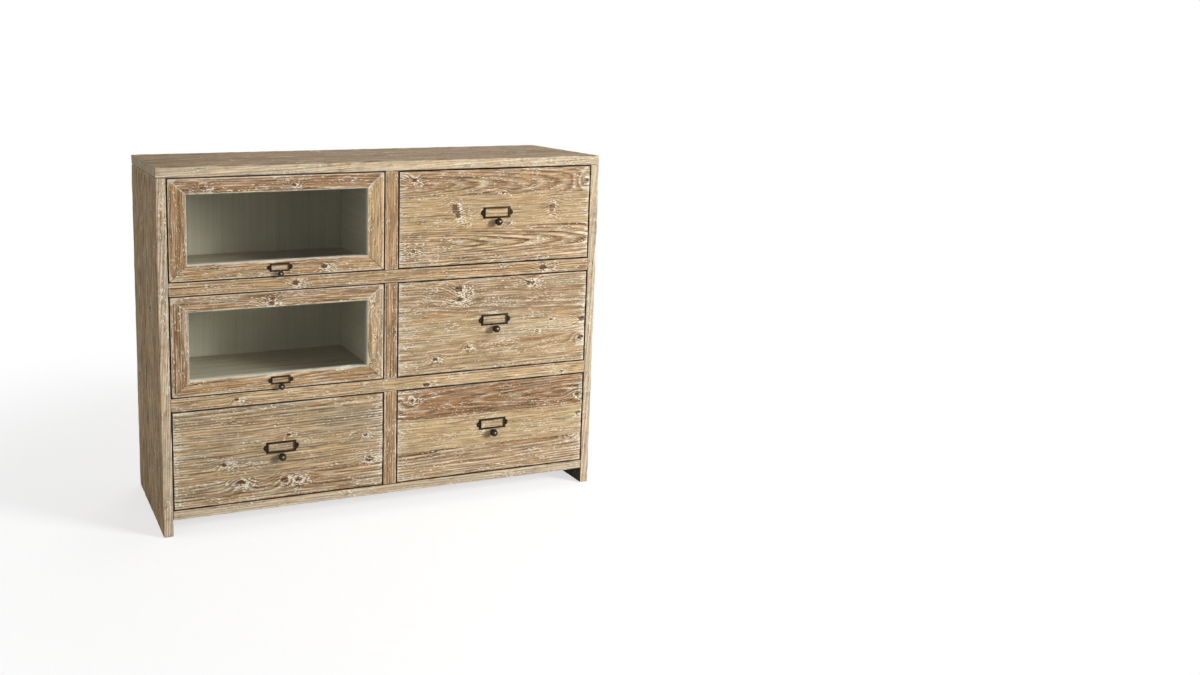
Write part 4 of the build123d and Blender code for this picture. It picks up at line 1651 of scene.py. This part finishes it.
# %% Fittings
FITTINGS = {
    "upper_flap": {"holder": (0.007, 0.012, (0.043, 0.013)), "knob": (0.0155, 0.009),
                   "others": ["lower_flap"]},
    "top_right_drawer": {"holder": (0.0065, 0.015, (0.066, 0.020)), "knob": (0.020, 0.0116),
                         "others": ["middle_right_drawer", "bottom_right_drawer", "bottom_left_drawer"]},
}


def copied(piece, name, offset):
    """A copy with a mesh of its own, moved by an offset."""
    only(piece)
    bpy.ops.object.duplicate(linked=False)
    copy = bpy.context.object
    copy.parent = None
    copy.location = offset
    bpy.ops.object.transform_apply(location=True, rotation=False, scale=False)
    copy.name = copy.data.name = name
    return copy


for body, sizes in FITTINGS.items():
    fittings = {
        ("_card_holder", "_label_holder"): add_card_holder(body, *sizes["holder"]),
        ("_pin_heads", "_label_pins"): add_pins(body),
        ("_turned_knob", "_knob"): add_knob(body, *sizes["knob"]),
    }
    for other in (*sizes["others"], body):
        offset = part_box(other + "_knob")[0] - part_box(body + "_knob")[0]
        for (ending, node), piece in fittings.items():
            placed = piece if other == body else copied(piece, other + ending, offset)
            settle(placed, bronze, other, "dark_bronze", other + node)

# %% [markdown]
# The other boards are plain inside and their CAD shapes are right, so they stay and only get a finish.

# %% Finishes of the CAD nodes that stay
KEPT = {
    "centre_partition": painted_partition,
    "upper_shelf": painted_shelf,
    "lower_shelf": painted_shelf,
    "back_boards": painted_back,
    "bottom_board": bare["X"],
    "drawer_runners": bare["Y"],
    "stop_blocks": bare["X"],
    "back_nails": steel,
}
for flap in FLAPS:
    KEPT.update({flap + "_glass": glass, flap + "_beads": painted_partition, flap + "_pivot_pins": steel})
for drawer in FRONTS:
    KEPT.update({drawer + "_sides": bare["Y"], drawer + "_back": bare["X"], drawer + "_bottom": bare["X"]})
for node, material in KEPT.items():
    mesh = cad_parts[node].data
    mesh.materials.clear()
    mesh.materials.append(material)
print(len(KEPT), "CAD nodes keep their shapes")

# %% [markdown]
# The floor is a wide pale sheet that the chest's shadow falls on. Its colour is a mid grey, so that it
# throws little light back up, and where the camera looks at it some white is added. Farther out it turns
# into plain white, so that it fades into the background without a horizon.

# %% Floor
FLOOR_SIDE = 60.0
PAPER_GREY = (0.5, 0.5, 0.5, 1.0)
SEEN_GLOW = 0.66
FADE_FROM, FADE_TO = 0.9, 2.0

floor = start_from(bpy.ops.mesh.primitive_plane_add, (0.0, 0.0, 0.0), size=FLOOR_SIDE)
floor.name = "studio_floor"
floor_material, tree = new_material("studio floor")
seen = looked_at(tree)
paper = wired(tree, "ShaderNodeBsdfDiffuse", {"Color": PAPER_GREY})
glow = wired(tree, "ShaderNodeEmission", {"Color": WHITE, "Strength": seen * SEEN_GLOW})
near = wired(tree, "ShaderNodeAddShader", {0: paper, 1: glow})
white = wired(tree, "ShaderNodeEmission", {"Color": WHITE, "Strength": 1.0})
distance = wired(tree, "ShaderNodeVectorMath", {0: object_place(tree)}, "Value", operation="LENGTH")
faded = seen * ease(distance, FADE_FROM, FADE_TO)
both = wired(tree, "ShaderNodeMixShader", {0: faded, 1: near, 2: white})
add_node(tree, "ShaderNodeOutputMaterial", {"Surface": both})
floor.data.materials.append(floor_material)
floor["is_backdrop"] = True
print("floor", floor.name)

# %% [markdown]
# Last, the dressed chest is measured.

# %% Sizes and the end
seen_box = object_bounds()
sizes = {"cad": [list(corner) for corner in cad_box], "visual": [list(corner) for corner in seen_box]}
print("visual box", [[round(v, 4) for v in corner] for corner in seen_box])
